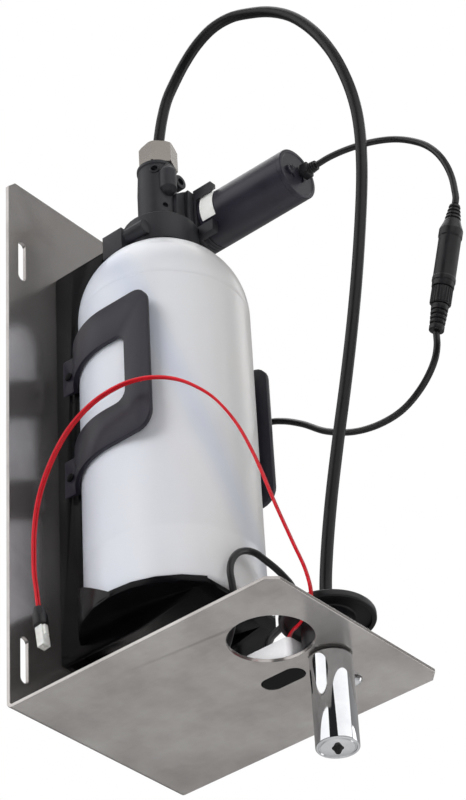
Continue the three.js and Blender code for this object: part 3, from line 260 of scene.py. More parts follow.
# %% Camera
camera = add_object("camera", bpy.data.cameras.new("camera"))
having(camera.data, lens=127.92, sensor_height=36, sensor_fit="VERTICAL", clip_end=30)
right, up, back = [Vector(way) for way in (
    (0.65194, -0.75671, -0.04861), (-0.42323, -0.41633, 0.8047), (-0.62916, -0.50405, -0.59168))]
camera.matrix_world = Matrix.Translation((-0.87280662, -0.79502761, -0.82225463)) @ Matrix(
    (right, up, back)).transposed().to_4x4()
scene.camera = camera
print("camera at", tuple(round(value, 3) for value in camera.location))

# %% [markdown]
# ## Nodes, colours and a base for the finishes
# A colour is picked as the hex value that a screen shows, while Blender's shaders work in linear
# light, so one function converts it. Another adds a node to a tree with its settings and links,
# and three more add the noise, the ramps and the relief that the finishes here are made of. Each
# finish starts from the Principled shader, and the values that don't vary over the surface are set
# on it directly.

# %% Node helpers
def linear(colour):
    """The linear colour of an sRGB hex value."""
    values = [int(colour[digit:digit + 2], 16) / 255 for digit in (1, 3, 5)]
    return (*[v / 12.92 if v <= 0.04045 else ((v + 0.055) / 1.055) ** 2.4 for v in values], 1)


def feed(tree, node, inputs):
    """Sets inputs of a node, each to a number, a colour, or what another node gives."""
    for name, value in dict(inputs).items():
        if isinstance(value, bpy.types.Node):
            value = value.outputs[0]
        if isinstance(value, bpy.types.NodeSocket):
            tree.links.new(value, node.inputs[name])
        else:
            node.inputs[name].default_value = value
    return node


def add(tree, kind, inputs=(), **settings):
    return feed(tree, having(tree.nodes.new(kind), **settings), inputs)


def per_metre(size):
    """The scale of a pattern whose marks are size millimetres apart."""
    return 1 / (size * MM)


def noise(tree, where, size, detail=2, roughness=0.5, distortion=0.0):
    return add(tree, "ShaderNodeTexNoise", {
        "Vector": where, "Scale": per_metre(size), "Detail": detail, "Roughness": roughness,
        "Distortion": distortion})


def blend(tree, value, low, high, start, end):
    """Goes from one hex colour or number to another while value goes from low to high."""
    if not isinstance(start, str):
        return add(tree, "ShaderNodeMapRange", {
            "Value": value, "From Min": low, "From Max": high, "To Min": start, "To Max": end})
    ramp = add(tree, "ShaderNodeValToRGB", {"Fac": value})
    for stop, position, colour in zip(ramp.color_ramp.elements, (low, high), (start, end)):
        stop.position, stop.color = position, linear(colour)
    return ramp


def relief(tree, height, depth, strength=1):
    return add(tree, "ShaderNodeBump", {
        "Height": height, "Strength": strength, "Distance": depth * MM})


def lies_along(tree, where, way):
    """How far a point lies in a direction."""
    return add(tree, "ShaderNodeVectorMath", {0: where, 1: way},
               operation="DOT_PRODUCT").outputs["Value"]


def new_finish(name, **fixed):
    """A material, its tree, its shader and the point that is shaded, in object coordinates."""
    finish = bpy.data.materials.new(name)
    finish.use_nodes = True
    tree = finish.node_tree
    shader = feed(tree, tree.nodes["Principled BSDF"],
                  {socket.replace("_", " "): value for socket, value in fixed.items()})
    return finish, tree, shader, add(tree, "ShaderNodeTexCoord").outputs["Object"]


def drifting(name, dark, light, rough, drift, grain, depth, stretch=(1, 1, 1), **fixed):
    """A finish whose colour and gloss drift over drift mm, with a grain of grain mm in its skin."""
    finish, tree, shader, where = new_finish(name, **fixed)
    laid = add(tree, "ShaderNodeMapping", {"Vector": where, "Scale": stretch})
    cloud = noise(tree, where, drift, 5, 0.6)
    feed(tree, shader, {"Base Color": blend(tree, cloud, 0.3, 0.7, dark, light),
                        "Roughness": blend(tree, cloud, 0.3, 0.7, *rough),
                        "Normal": relief(tree, noise(tree, laid, grain, 3, 0.55), depth)})
    return finish


def fit(piece, slot_name, finish, *stands_for, body="dispenser"):
    """Gives a piece its finish and body, hides the nodes it stands for; slot_name is not used."""
    piece.data.materials.clear()
    piece.data.materials.append(finish)
    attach(piece, body)
    if stands_for:
        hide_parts(*stands_for)
    return piece


def moulded(node, name, width, slot_name, finish):
    """A CAD node's own shape with rounded edges, dressed and standing for that node."""
    return fit(from_cad(node, name, width), slot_name, finish, node)


print("node helpers ready, mid grey is", round(linear("#808080")[0], 3))

# %% [markdown]
# ## Hose and leads
# The soap hose is a stiff black polyurethane tube that arches from the pump and drops into the
# spout. The leads are thinner PVC cable. Each is a fixed length that hangs in a smooth curve, so
# it is a curve object through listed points, with the real diameter as its bevel. The red
# pair are two thin silicone wires that lie side by side, so the same line is drawn twice, a
# little to each side of it.

# %% Cord routes
HOSE_ROUTE = [
    (0.4, -54.4, 175.3), (0.4, -54.4, 181), (0.4, -54.5, 186.5), (0.5, -55.5, 193.1),
    (0.8, -58, 206.1), (1.5, -61.5, 218.4), (2.6, -66.6, 228.7), (3.6, -73.3, 238.9),
    (4.7, -82, 248.2),
    (6, -92.3, 254.4), (7.4, -103.8, 255.5), (8.8, -116.7, 251.4), (9.7, -129.4, 244.5),
    (11, -141.8, 233.9), (12.7, -153.4, 217.9), (14.2, -163.7, 196.4), (15.2, -170.6, 173.8),
    (15.8, -174.3, 153.5), (16.2, -175.3, 135.9), (16.1, -174.8, 116), (15.9, -173.1, 96.9),
    (15.1, -167.4, 54.9), (14.2, -161.6, 20.3), (13.1, -155.1, -13.4), (11.8, -148.4, -45.8),
    (10.8, -142.1, -77.6), (10.3, -137.7, -103.9), (10.3, -135.3, -122), (10.3, -134.85, -134),
    (10.3, -134.85, -143), (10.3, -134.85, -150)]
MOTOR_LEAD_ROUTE = [
    (29.3, -137.3, 143.8), (29.4, -144, 144.1), (29.6, -151, 143.6), (29.8, -159, 142.2),
    (29.9, -168, 139.7), (30, -177.9, 135.9), (30, -187.5, 130.8), (30, -196.6, 124.1),
    (30, -204.9, 116), (30, -211.3, 106.4), (30, -215.6, 96), (30, -217.9, 86), (30, -218.5, 78),
    (30, -218.6, 73.6), (30, -217.75, 70)]
SENSOR_LEAD_ROUTE = [
    (30, -198.3, 1.3), (31, -197.2, -5.4), (32.2, -194, -12), (35, -185.2, -18.8),
    (40.8, -168.8, -22), (45.4, -151.9, -20), (50.2, -131.3, -12.6), (54.4, -110.2, 0.4),
    (57.7, -93.4, 15.1), (60, -79.5, 25.1), (60.6, -70, 29.4), (60.4, -61.4, 28.8),
    (59.4, -54, 23.6), (58.6, -48.8, 14), (57.8, -46.4, 0), (56.8, -45.6, -24), (55.6, -46, -54),
    (54, -47.4, -84), (51.6, -50, -110), (47.6, -53.4, -130), (41.4, -57.6, -144),
    (32.4, -62.8, -152.2), (21, -68, -155.2), (9, -73, -155.4), (-2, -79, -155.4),
    (-9.4, -86.6, -153), (-12.6, -94, -145.6), (-12.8, -98.6, -134), (-12.9, -99.8, -124),
    (-14.2, -100.2, -116.5), (-15.2, -100.2, -109.9), (-13.9, -100.5, -103.6),
    (-9.7, -101, -97.6), (-4.8, -102, -94.6), (0.2, -103.5, -94.3), (5.2, -105, -96.5),
    (9.8, -107, -99.7), (13.7, -108.8, -103.4), (17.6, -110, -107.4), (19.6, -110.4, -113),
    (19.2, -109.4, -120), (16, -106.6, -127), (12, -103.6, -132.4), (9, -101.6, -137),
    (8, -101, -141.5), (8, -101, -147)]
RED_WIRE_ROUTE = [
    (-54, -15.2, -108.7), (-54, -14.6, -104.4), (-54, -13.7, -97), (-54.1, -12.8, -90),
    (-54.2, -12.6, -81), (-54.4, -13.3, -64.3), (-54.8, -17, -47.6), (-55, -25, -31.6),
    (-55.4, -37.2, -18.6), (-55.8, -53.4, -11.2), (-55.9, -70.4, -9.9), (-56.5, -86, -13.6),
    (-55.6, -97.5, -18.2), (-54.1, -107, -23.8), (-51.5, -114, -29.4), (-46.2, -121, -37.1),
    (-40.1, -128, -50.8), (-35.8, -134.5, -70.5), (-30.2, -141.5, -101), (-24.1, -144.8, -119.5),
    (-18.4, -146.2, -131.8), (-15.4, -146, -142), (-13.4, -143.2, -146.2), (-8.6, -136.2, -147.6),
    (-4.4, -128.8, -147.3), (-0.4, -123, -145.1), (3.4, -118, -144.1), (6.9, -114.4, -144.1),
    (9.4, -111.9, -144.9), (10.2, -111.1, -146.1)]
HOSE_DIAMETER, LEAD_DIAMETER, WIRE_DIAMETER, WIRE_SPREAD = 6.0, 3.4, 1.4, 0.85


def smooth_line(route, steps=8):
    """Points along the smooth line through a route, closer together where the route is."""
    points = [Vector(point) * MM for point in route]
    points = [2 * points[0] - points[1], *points, 2 * points[-1] - points[-2]]
    line = []
    for p0, p1, p2, p3 in zip(points, points[1:], points[2:], points[3:]):
        d0, d1, d2 = [math.sqrt((b - a).length) for a, b in ((p0, p1), (p1, p2), (p2, p3))]
        leave = ((p1 - p0) / d0 - (p2 - p0) / (d0 + d1) + (p2 - p1) / d1) * d1
        arrive = ((p2 - p1) / d1 - (p3 - p1) / (d1 + d2) + (p3 - p2) / d2) * d1
        for step in range(steps):
            t = step / steps
            line.append(p1 + leave * t + (3 * (p2 - p1) - 2 * leave - arrive) * t ** 2
                        + (2 * (p1 - p2) + leave + arrive) * t ** 3)
    return line + [points[-2]]


def beside(line, offset):
    """The line moved sideways by offset, without twisting on its way."""
    ways = [(b - a).normalized() for a, b in zip(line, line[1:])]
    ways.append(ways[-1])
    smallest = min(range(3), key=lambda axis: abs(ways[0][axis]))
    side = Vector([float(axis == smallest) for axis in range(3)])
    side = ways[0].cross(ways[0].cross(side).normalized())
    moved = [line[0] + side * offset]
    for before, way, point in zip(ways, ways[1:], line[1:]):
        side = (before.rotation_difference(way) @ side).normalized()
        moved.append(point + side * offset)
    return moved


def cord_curve(name, line, diameter):
    curve = having(bpy.data.curves.new(name, "CURVE"), dimensions="3D",
                   bevel_depth=diameter / 2 * MM, bevel_resolution=5, use_fill_caps=True)
    add_spline(curve, line, use_smooth=True)
    return add_object(name, curve)


def long_of(line):
    return sum((b - a).length for a, b in zip(line, line[1:]))


hose_line = smooth_line(HOSE_ROUTE)
motor_line = smooth_line(MOTOR_LEAD_ROUTE)
sensor_line = smooth_line(SENSOR_LEAD_ROUTE)
wire_line = smooth_line(RED_WIRE_ROUTE)
for name, line in zip(("hose", "motor lead", "sensor lead", "red wires"),
                      (hose_line, motor_line, sensor_line, wire_line)):
    print(name, "is", round(long_of(line), 3), "m long")

# %% [markdown]
# The extruded polyurethane of the hose is smooth and satin. The PVC jacket of the leads shines a
# little more. Red silicone wire is bright and slightly soft-looking. All three show long streaks
# rather than grains, but they are thinner than a pixel, so only a slow drift of colour and gloss
# is drawn.

# %% Cord finishes and cords
polyurethane = drifting("extruded_polyurethane_black", "#0b0b0d", "#151517", (0.34, 0.44), 22,
                        1.5, 0.02, IOR=1.5, Specular_IOR_Level=0.4)
pvc_jacket = drifting("extruded_pvc_black", "#0d0d0e", "#18181a", (0.28, 0.4), 14, 0.9, 0.02,
                      IOR=1.53)
silicone_red = drifting("extruded_silicone_red", "#c80a1c", "#de1a2c", (0.3, 0.42), 9, 0.8, 0.02,
                        IOR=1.43, Subsurface_Weight=0.08)
soap_hose, motor_lead, sensor_lead = [
    fit(cord_curve(name, line, diameter), "cable_black", finish, node)
    for name, line, diameter, finish, node in (
        ("soap_hose_tube", hose_line, HOSE_DIAMETER, polyurethane, "soap_hose"),
        ("motor_lead_cable", motor_line, LEAD_DIAMETER, pvc_jacket, "motor_lead"),
        ("sensor_lead_cable", sensor_line, LEAD_DIAMETER, pvc_jacket, "sensor_lead"))]
red_wires = [
    fit(cord_curve(f"red_wire_{side}_strand", beside(wire_line, offset * MM), WIRE_DIAMETER),
        "wire_red", silicone_red, f"red_wire_{side}")
    for side, offset in (("a", -WIRE_SPREAD), ("b", WIRE_SPREAD))]

# %% [markdown]
# ## Wall bracket
# The bracket is one piece of 2 mm stainless sheet. The factory cuts it out flat, with its slots
# and holes, brushes it and folds it once. The same order works here: a flat outline with holes is
# given its thickness and then bent by moving each point round the fold, so the holes and the
# rounded edges follow the sheet as they do on the real one.

# %% Bracket sizes and fold
SHEET, FOLD = 2.0, 3.5
PLATE_HALF, PLATE_HEIGHT, SHELF_DEPTH, CORNER = 60.0, 320.0, 160.0, 5.0
FOLD_RUN = (FOLD - SHEET / 2) * math.pi / 2
PLATE_RUN = PLATE_HEIGHT - FOLD
BLANK = PLATE_RUN + FOLD_RUN + SHELF_DEPTH - FOLD
FOLD_CUTS, HOLE_CORNERS, EDGE = 6, 48, 0.25
WALL_SLOT, SLOT_INSET, SLOT_LEVELS = (25, 5.2), 10, (30, 270)
SCREW_HOLE, SCREW_LEVELS, EARTH_FORWARD = 2.2, (90, 232), 130.5
ROUND_HOLE, ROUND_X, ROUND_FORWARD, ROUND_CORNERS = 20, -20.5, 125.5, 96
SPOUT_HOLE, SENSOR_SLOT, EARTH_X = 8.1, (23.2, 10.8), 33.5


def circle(x, y, radius, corners=HOLE_CORNERS, start=0.0):
    turns = [start + 2 * math.pi * corner / corners for corner in range(corners)]
    return [(x + radius * math.cos(turn), y + radius * math.sin(turn)) for turn in turns]


def slot(x, y, length, width, corners=HOLE_CORNERS):
    reach = (length - width) / 2
    return [(px, py + math.copysign(reach, py - y + 1e-9))
            for px, py in circle(x, y, width / 2, corners)]


def on_shelf(forward):
    return forward - FOLD + PLATE_RUN + FOLD_RUN


def folded(point):
    across, along, depth = point.x, point.y, point.z
    top = shelf_level + PLATE_HEIGHT
    if along <= PLATE_RUN:
        return Vector((across, -depth, top - along))
    turn = min((along - PLATE_RUN) / FOLD_RUN, 1) * math.pi / 2
    past = max(along - PLATE_RUN - FOLD_RUN, 0)
    radius = FOLD - depth
    return Vector((across, -FOLD + radius * math.cos(turn) - past,
                   shelf_level + FOLD - radius * math.sin(turn)))


def weighed(piece, angle=32):
    """Lets the large flat faces set the shading next to their rounded edges."""
    smooth(piece, angle).modifiers.new("weights", "WEIGHTED_NORMAL").keep_sharp = True
    return settle(piece)


def bracket_blank():
    half, inner, end = PLATE_HALF, PLATE_HALF - CORNER, BLANK - CORNER
    edge = [(-inner, 0), (inner, 0), (half, CORNER), (half, end), (inner, BLANK), (-inner, BLANK),
            (-half, end), (-half, CORNER)]
    holes = [slot(side * (half - SLOT_INSET), PLATE_HEIGHT - level, *WALL_SLOT)
             for side in (-1, 1) for level in SLOT_LEVELS]
    holes += [circle(0, PLATE_HEIGHT - level, SCREW_HOLE) for level in SCREW_LEVELS]
    holes += [circle(ROUND_X, on_shelf(ROUND_FORWARD), ROUND_HOLE, ROUND_CORNERS),
              circle(EARTH_X, on_shelf(EARTH_FORWARD), SCREW_HOLE),
              circle(spout_axis.x, on_shelf(-spout_axis.y), SPOUT_HOLE),
              slot(sensor_axis.x, on_shelf(-sensor_axis.y), *SENSOR_SLOT)]
    return raised("bracket_sheet", edge, 0, SHEET, Matrix(), EDGE, holes)


bracket = bracket_blank()
mesh = bmesh.new()
mesh.from_mesh(bracket.data)
for cut in range(FOLD_CUTS + 1):
    bmesh.ops.bisect_plane(mesh, geom=[*mesh.verts, *mesh.edges, *mesh.faces], dist=1e-4,
                           plane_co=(0, PLATE_RUN + FOLD_RUN * cut / FOLD_CUTS, 0),
                           plane_no=(0, 1, 0))
for vert in mesh.verts:
    vert.co = folded(vert.co) * MM
bmesh.ops.recalc_face_normals(mesh, faces=mesh.faces)
mesh.to_mesh(bracket.data)
mesh.free()
weighed(bracket)
print("bracket blank is", round(BLANK, 1), "mm long and has", len(bracket.data.polygons), "faces")

# %% [markdown]
# Brushed stainless steel is not one grey. The brush leaves scratches a few hundredths of a
# millimetre wide, all in one direction, and they spread each reflection across the grain. The
# sheet also keeps faint cloudy marks from rolling. The scratches are drawn at half a millimetre,
# because the real ones are too fine to show, and they run along the sheet, across the fold. A
# little of the light is scattered evenly, so the finish isn't wholly a mirror.

# %% Brushed steel
STEEL_SPREAD = 0.36, 0.64
steel, tree, shader, where = new_finish("brushed_stainless_steel", Metallic=0.85,
                                        Anisotropic=0.3, Anisotropic_Rotation=0.25)
streaks = add(tree, "ShaderNodeMapping", {"Vector": where, "Scale": (1, 0.018, 0.018)})
fine = noise(tree, streaks, 0.5, 4, 0.7)
both = add(tree, "ShaderNodeMix", {"Factor": 0.16, "A": noise(tree, where, 38, 6, 0.62),
                                   "B": fine})
feed(tree, shader, {
    "Base Color": blend(tree, both, *STEEL_SPREAD, "#aea9a6", "#cac6c3"),
    "Roughness": blend(tree, both, *STEEL_SPREAD, 0.24, 0.17),
    "Normal": relief(tree, fine, 0.015, 0.5),
    "Tangent": add(tree, "ShaderNodeTangent", direction_type="RADIAL", axis="X")})
fit(bracket, "brushed_steel", steel, "wall_bracket")
print("bracket finished in", steel.name)

# %% [markdown]
# ## Moulded plastics
# Almost every other part of the dispenser is injection moulded. The cage is smooth ABS, whose shine
# is kept low so that it stays as deep a black as in the photograph. The arms are satin
# polypropylene, and the pump is nylon filled with short glass fibres, which leave a dry, slightly
# cloudy skin. The same base serves for all of them: two near tones that drift over several
# millimetres, the gloss that drifts with them, and a fine skin.

# %% Plastic and rubber finishes
abs_black = drifting("moulded_abs_gloss_black", "#08080a", "#0e0e11", (0.16, 0.28), 30, 1.2, 0.02,
                     IOR=1.53, Specular_IOR_Level=0.12)
polypropylene = drifting("moulded_polypropylene_dark", "#23212a", "#2b2932", (0.34, 0.42), 24,
                         0.7, 0.03, IOR=1.49, Specular_IOR_Level=0.35)
filled_nylon = drifting("moulded_glass_filled_nylon", "#202024", "#2a2a2f", (0.42, 0.54), 9, 0.6,
                        0.03, IOR=1.53)
acetal = drifting("machined_acetal_cream", "#d8d3c2", "#ece8da", (0.3, 0.4), 6, 0.5, 0.02,
                  IOR=1.48)
abs_light = drifting("moulded_abs_white", "#e9e9ec", "#f6f6f8", (0.2, 0.3), 14, 0.8, 0.01,
                     IOR=1.53)
nylon_white = drifting("moulded_nylon_white", "#d9d6cf", "#f4f2ee", (0.32, 0.45), 4, 0.4, 0.02,
                       IOR=1.53, Subsurface_Weight=0.1)
nitrile = drifting("moulded_nitrile_rubber", "#101011", "#1e1e20", (0.5, 0.7), 5, 0.45, 0.06,
                   IOR=1.52)
connector_black = drifting("moulded_tpe_satin_black", "#0d0d0f", "#1c1c1f", (0.32, 0.45), 6, 0.5,
                           0.03, IOR=1.5)
acrylic = drifting("cast_acrylic_infrared_black", "#060608", "#0b0b0e", (0.12, 0.2), 14, 1, 0.005,
                   IOR=1.49, Specular_IOR_Level=0.06)
print(len(bpy.data.materials), "materials so far")

# %% [markdown]
# ## Bottle cage and its arms
# The cage is a tall moulded channel with a curved cradle behind the bottle and a ledge below it.
# Two arms leave its sides and wrap round the bottle, each a window frame in a curved strip. Their
# shapes come straight from the CAD model, so a copy is cleaned of its triangles and its edges are
# rounded the way a mould rounds them.

# %% Cage and arms
moulded("bottle_cage", "cage_moulding", 0.5, "cage_plastic", abs_black)
for side in ("left", "right"):
    arm = moulded(f"cage_arm_{side}", f"cage_arm_{side}_strip", 0.7, "arm_plastic", polypropylene)
    print("arm", side, "has", len(arm.data.polygons), "faces")

# %% [markdown]
# ## Metals
# Chrome on the spout is a mirror with only a trace of haze. The nut on the pump is brass with a
# warm, slightly satin nickel plating and fine lathe marks. The screws are zinc plated, which looks
# bluish and a little cloudy. The motor's can is a drawn steel tube with a satin black paint.

# %% Metal finishes
chrome = drifting("chrome_plated_brass", "#e4e5e8", "#f2f3f5", (0.03, 0.07), 15, 2, 0.004,
                  Metallic=1.0)
nickel = drifting("nickel_plated_brass", "#918b85", "#9a948e", (0.24, 0.3), 14, 0.8, 0.003,
                  stretch=(1, 1, 6), Metallic=1.0)
zinc = drifting("zinc_plated_steel", "#b9bcc2", "#dcdfe3", (0.25, 0.42), 2.5, 0.5, 0.02,
                Metallic=1.0)
painted_steel = drifting("painted_steel_satin_black", "#211f29", "#2b2934", (0.34, 0.42), 18, 0.5,
                         0.008, IOR=1.5, Coat_Weight=0.1, Coat_Roughness=0.35)
copper = drifting("enamelled_copper_wire", "#8c4a22", "#c8793f", (0.25, 0.4), 1.2, 0.35, 0.05,
                  stretch=(1, 0.1, 1), Metallic=1.0)
ferrite = drifting("sintered_ferrite", "#2b2b2e", "#434347", (0.6, 0.8), 3, 0.4, 0.05)
print("metals ready")

# %% [markdown]
# ## Bottle
# The bottle is blown from natural polyethylene in a split mould. The mould leaves a faint line up
# each side and a ring low on the wall, the shoulder is domed with two soft rings, and the skin is
# milky: light goes into it and comes out a few millimetres away. It is a turned section with a
# wall thickness, and the parting line is a small swelling of the radius. Its finish has painted
# shade in its colour: bluish on the camera's left, turning warmer towards the right, and a faint
# bluish painted shade line where the tube that stands in the soap shows through the wall.

# %% Bottle shape
bottle_low, bottle_high = levels("bottle")
BOTTLE_RADIUS, BOTTLE_WALL, NECK_RADIUS, HEEL = 44.0, 1.8, 15.6, 4.0
SHOULDER, MOULD_LINE = bottle_low + 183.0, 77.0
RING_ANGLES, RING_HEIGHT, RING_WIDTH = (0.62, 0.84), 0.22, 0.035
PARTING, PARTING_HEIGHT, PARTING_WIDTH = (0.5, 0.5 + math.pi), 0.12, 0.018
DOME_STEPS = 64


def dome(radius, neck, ring_height=0.0):
    points = []
    for step in range(1, DOME_STEPS + 1):
        turn = math.acos(neck / radius) * step / DOME_STEPS
        ring = sum(math.exp(-((turn - at) / RING_WIDTH) ** 2) for at in RING_ANGLES)
        size = radius - ring_height * ring
        points.append((size * math.cos(turn), SHOULDER + size * math.sin(turn)))
    return points


def parting_line(angle, height):
    away = min(abs((angle - at + math.pi) % (2 * math.pi) - math.pi) for at in PARTING)
    return PARTING_HEIGHT * (math.exp(-(away / PARTING_WIDTH) ** 2) - 1)


def bottle_section():
    wide, foot, inner = BOTTLE_RADIUS, BOTTLE_RADIUS - 2 * HEEL, BOTTLE_RADIUS - BOTTLE_WALL
    dent, floor_top = bottle_low + 2, bottle_low + BOTTLE_WALL
    neck = NECK_RADIUS - BOTTLE_WALL
    return [
        (0, dent), (foot - 2, dent, 1.5), (foot, bottle_low, 1), (wide, bottle_low, HEEL),
        (wide, MOULD_LINE - 1.2), (wide - 0.25, MOULD_LINE), (wide, MOULD_LINE + 1.2),
        (wide, SHOULDER - 1.2, 0.5), (wide - 0.45, SHOULDER - 0.6, 0.4),
        *dome(wide, NECK_RADIUS, RING_HEIGHT), (NECK_RADIUS, bottle_high), (neck, bottle_high),
        *reversed(dome(inner, neck)), (inner, floor_top, HEEL - BOTTLE_WALL), (foot, floor_top),
        (foot - 3, dent + BOTTLE_WALL), (0, dent + BOTTLE_WALL)]


bottle = turned("bottle_shell", bottle_section(), AT_BOTTLE, facets=144, swell=parting_line)
print("bottle is", round(bottle_high - bottle_low, 1), "mm tall")

# %% Bottle finish
ACROSS, SHADE_REACH, WALL_SHARE = Vector((0.652, -0.757, 0)), 0.085, 0.35
# The dip tube's painted shade line runs between these two points, TUBE_HALF to each side of it.
TUBE_TOP, TUBE_FOOT = Vector((-0.0364, -0.0787, 0.0308)), Vector((0.0044, -0.0978, -0.0766))
TUBE_HALF, TUBE_SHADE = 0.012, 0.5
run = Vector(((TUBE_FOOT - TUBE_TOP).dot(ACROSS), 0, (TUBE_FOOT - TUBE_TOP).z)).normalized()
off_run = Vector((ACROSS.x * -run.z, ACROSS.y * -run.z, run.x))
milky, tree, shader, where = new_finish(
    "blow_moulded_polyethylene", IOR=1.51, Subsurface_Weight=0.35, Subsurface_Scale=0.006,
    Subsurface_Radius=(1.0, 1.0, 1.1))
wall = noise(tree, where, 60, distortion=0.3)
# Painted shade across the bottle: bluish on the camera's left, warmer on its right, mixed with a
# slow random drift of the wall's tone.
side = blend(tree, lies_along(tree, where, ACROSS), 0, SHADE_REACH, 0, 1)
mixed = add(tree, "ShaderNodeMix", {"Factor": WALL_SHARE, "A": side, "B": wall})
tone_and_shade = blend(tree, mixed, 0.15, 0.85, "#dbe0ee", "#e7e5e3")
# Painted shade: a faint bluish line darkens the wall where the dip tube shows through it.
away = add(tree, "ShaderNodeMath", {0: lies_along(tree, where, off_run), 1: TUBE_TOP.dot(off_run)},
           operation="SUBTRACT")
gap = add(tree, "ShaderNodeMath", {0: away}, operation="ABSOLUTE")
shade = blend(tree, gap, 0, TUBE_HALF, TUBE_SHADE, 0)
shade.interpolation_type = "SMOOTHSTEP"
tone_with_tube_shade = add(tree, "ShaderNodeMix", {0: shade, 6: tone_and_shade, 7: linear("#c4cde4")}, data_type="RGBA")
feed(tree, shader, {"Base Color": tone_with_tube_shade.outputs[2],
                    "Roughness": blend(tree, wall, 0, 1, 0.34, 0.26),
                    "Normal": relief(tree, noise(tree, where, 18), 0.06, 0.5)})
fit(bottle, "bottle_plastic", milky, "bottle", body="bottle")
clear_tube = drifting("extruded_polyethylene_clear", "#cfd4d6", "#e6eaeb", (0.2, 0.3), 20, 1.5,
                      0.02, IOR=1.51, Transmission_Weight=0.5)
print("bottle finished in", milky.name)

# %% [markdown]
# ## Pump collar and body
# A collar sits over the bottle's neck on two lugs that hook over the cage. The pump body stands on
# it: a turned housing with a rim at the top, a capsule-shaped boss, a small ear with a hole, two
# little marks and a web towards the gear case. Each of those is its own form, joined to the body or
# cut from it.

# %% Pump collar and body
body_low, body_high = levels("pump_body")
BODY_RADIUS, BODY_NECK, RIM_RADIUS, BODY_SHIFT = 10.5, 9.9, 10.4, 0.58
SPIGOT, NIPPLE, BOSS, BOSS_TURN, BOSS_OUT = 6.0, 6.0, 4.7, -1.92, 10.4
BODY_BORE, OUTLET_BORE, SEAT, PORT_TURN, PIT_TURN = 4, 2.4, 2, -2.6, -2.1
COLLAR_TOP, BODY_TOP = body_low + 12, body_high - 9
BOSS_TOP, EAR_LEVEL, PORT_LEVEL = BODY_TOP - 8.8, BODY_TOP - 8, BODY_TOP - 6.6
WEB_DEPTH, WEB_OUT, WEB_LOW, WEB_HIGH = (58, 66.2), 6.3, 128.3 - shelf_level, 153.6 - shelf_level


def at(where, x, y, z=0.0, axis="X", angle=0.0):
    return where @ Matrix.Translation((x, y, z)) @ Matrix.Rotation(angle, 4, axis)


def pointing(where, angle, height):
    """A place on the bottle's axis at a height, its own axis turned to point outwards."""
    return at(where, 0, 0, height, "Z", angle) @ Matrix.Rotation(math.pi / 2, 4, "Y")


def rod(where, radius, start, end, facets=96, low=(), high=()):
    """A plain cylinder between two heights, with the radius of its lower and upper edge."""
    return turned("rod", [(0, start), (radius, start, *low), (radius, end, *high), (0, end)],
                  where, facets)


def pump_housing():
    skin = turned("pump_housing", [
        (0, COLLAR_TOP), (BODY_RADIUS, COLLAR_TOP, 0.6), (BODY_RADIUS, BODY_TOP - 17, 3),
        (BODY_NECK, BODY_TOP - 2.8, 0.4), (RIM_RADIUS, BODY_TOP - 2, 0.4),
        (RIM_RADIUS, BODY_TOP, 0.6), (0, BODY_TOP)], at(AT_BOTTLE, -BODY_SHIFT, BODY_SHIFT))
    boss = turned("boss", [(0, BOSS_TOP - 15.7), (3, BOSS_TOP - 14, 1.5),
                           (BOSS, BOSS_TOP - 11.4, 1.5), (BOSS, BOSS_TOP, 3), (0, BOSS_TOP + 7.6)],
                  at(AT_BOTTLE, *polar(BOSS_OUT, BOSS_TURN)), 48)
    ear_place = at(AT_BOTTLE, 7.4, -4.5, EAR_LEVEL, "X", math.pi / 2)
    port_place = pointing(AT_BOTTLE, PORT_TURN, PORT_LEVEL)
    web = raised("web", [(0, WEB_LOW), (WEB_OUT, WEB_LOW), (WEB_OUT, WEB_HIGH), (0, WEB_HIGH - 5)],
                 *WEB_DEPTH, at(AT_SHELF, 0, 0, 0, "X", math.pi / 2), 0.3)
    combine(skin, "UNION", rod(AT_BOTTLE, SPIGOT, body_low, COLLAR_TOP + 1, low=[0.5]),
            rod(AT_OUTLET, NIPPLE, BODY_TOP - 1, body_high, high=[0.5]), boss,
            rod(ear_place, 4.2, 0, 5, 48, [0.4], [0.5]),
            rod(port_place, 2.7, 8, 10.9, 32, high=[0.4]), web)
    inlet = turned("inlet", [
        (0, body_low - 1), (3.5, body_low - 1), (3.5, body_low + 9), (SEAT, body_low + 9),
        (SEAT, body_low + 12), (BODY_BORE, body_low + 12), (BODY_BORE, body_low + 20.5),
        (0, body_low + 20.5)], AT_BOTTLE, 48)
    outlet = turned("outlet", [
        (0, BODY_TOP - 20), (OUTLET_BORE, BODY_TOP - 20), (OUTLET_BORE, body_high - 5),
        (3.6, body_high - 5), (3.6, body_high + 1), (0, body_high + 1)], AT_OUTLET, 48)
    combine(skin, "DIFFERENCE", inlet, outlet, rod(ear_place, 2.1, 3, 6, 32),
            rod(pointing(AT_BOTTLE, PIT_TURN, BODY_TOP - 31.2), 1.6, 8.5, 12, 24),
            rod(port_place, 1.8, 8.5, 13, 24))
    return weighed(skin)


moulded("pump_collar", "pump_collar_moulding", 0.5, "pump_plastic", filled_nylon)
housing = fit(pump_housing(), "pump_plastic", filled_nylon, "pump_body")
print("pump body has", len(housing.data.polygons), "faces")

# %% [markdown]
# ## Outlet nut
# The nickel-plated nut is turned from hexagon bar, so its corners are cut back by a cone at each
# end, which leaves the curved edges that every real nut has. Keeping only what a hexagon and a
# turned blank share gives those edges exactly.

# %% Outlet nut
nut_low, nut_high = levels("fitting_nut")
NUT_RADIUS, NUT_TURN, NUT_CONE, NIPPLE_BORE, HOSE_BORE = 10.4, 0.3543, 1.2, 6.4, 3.6
HEXAGON = 6


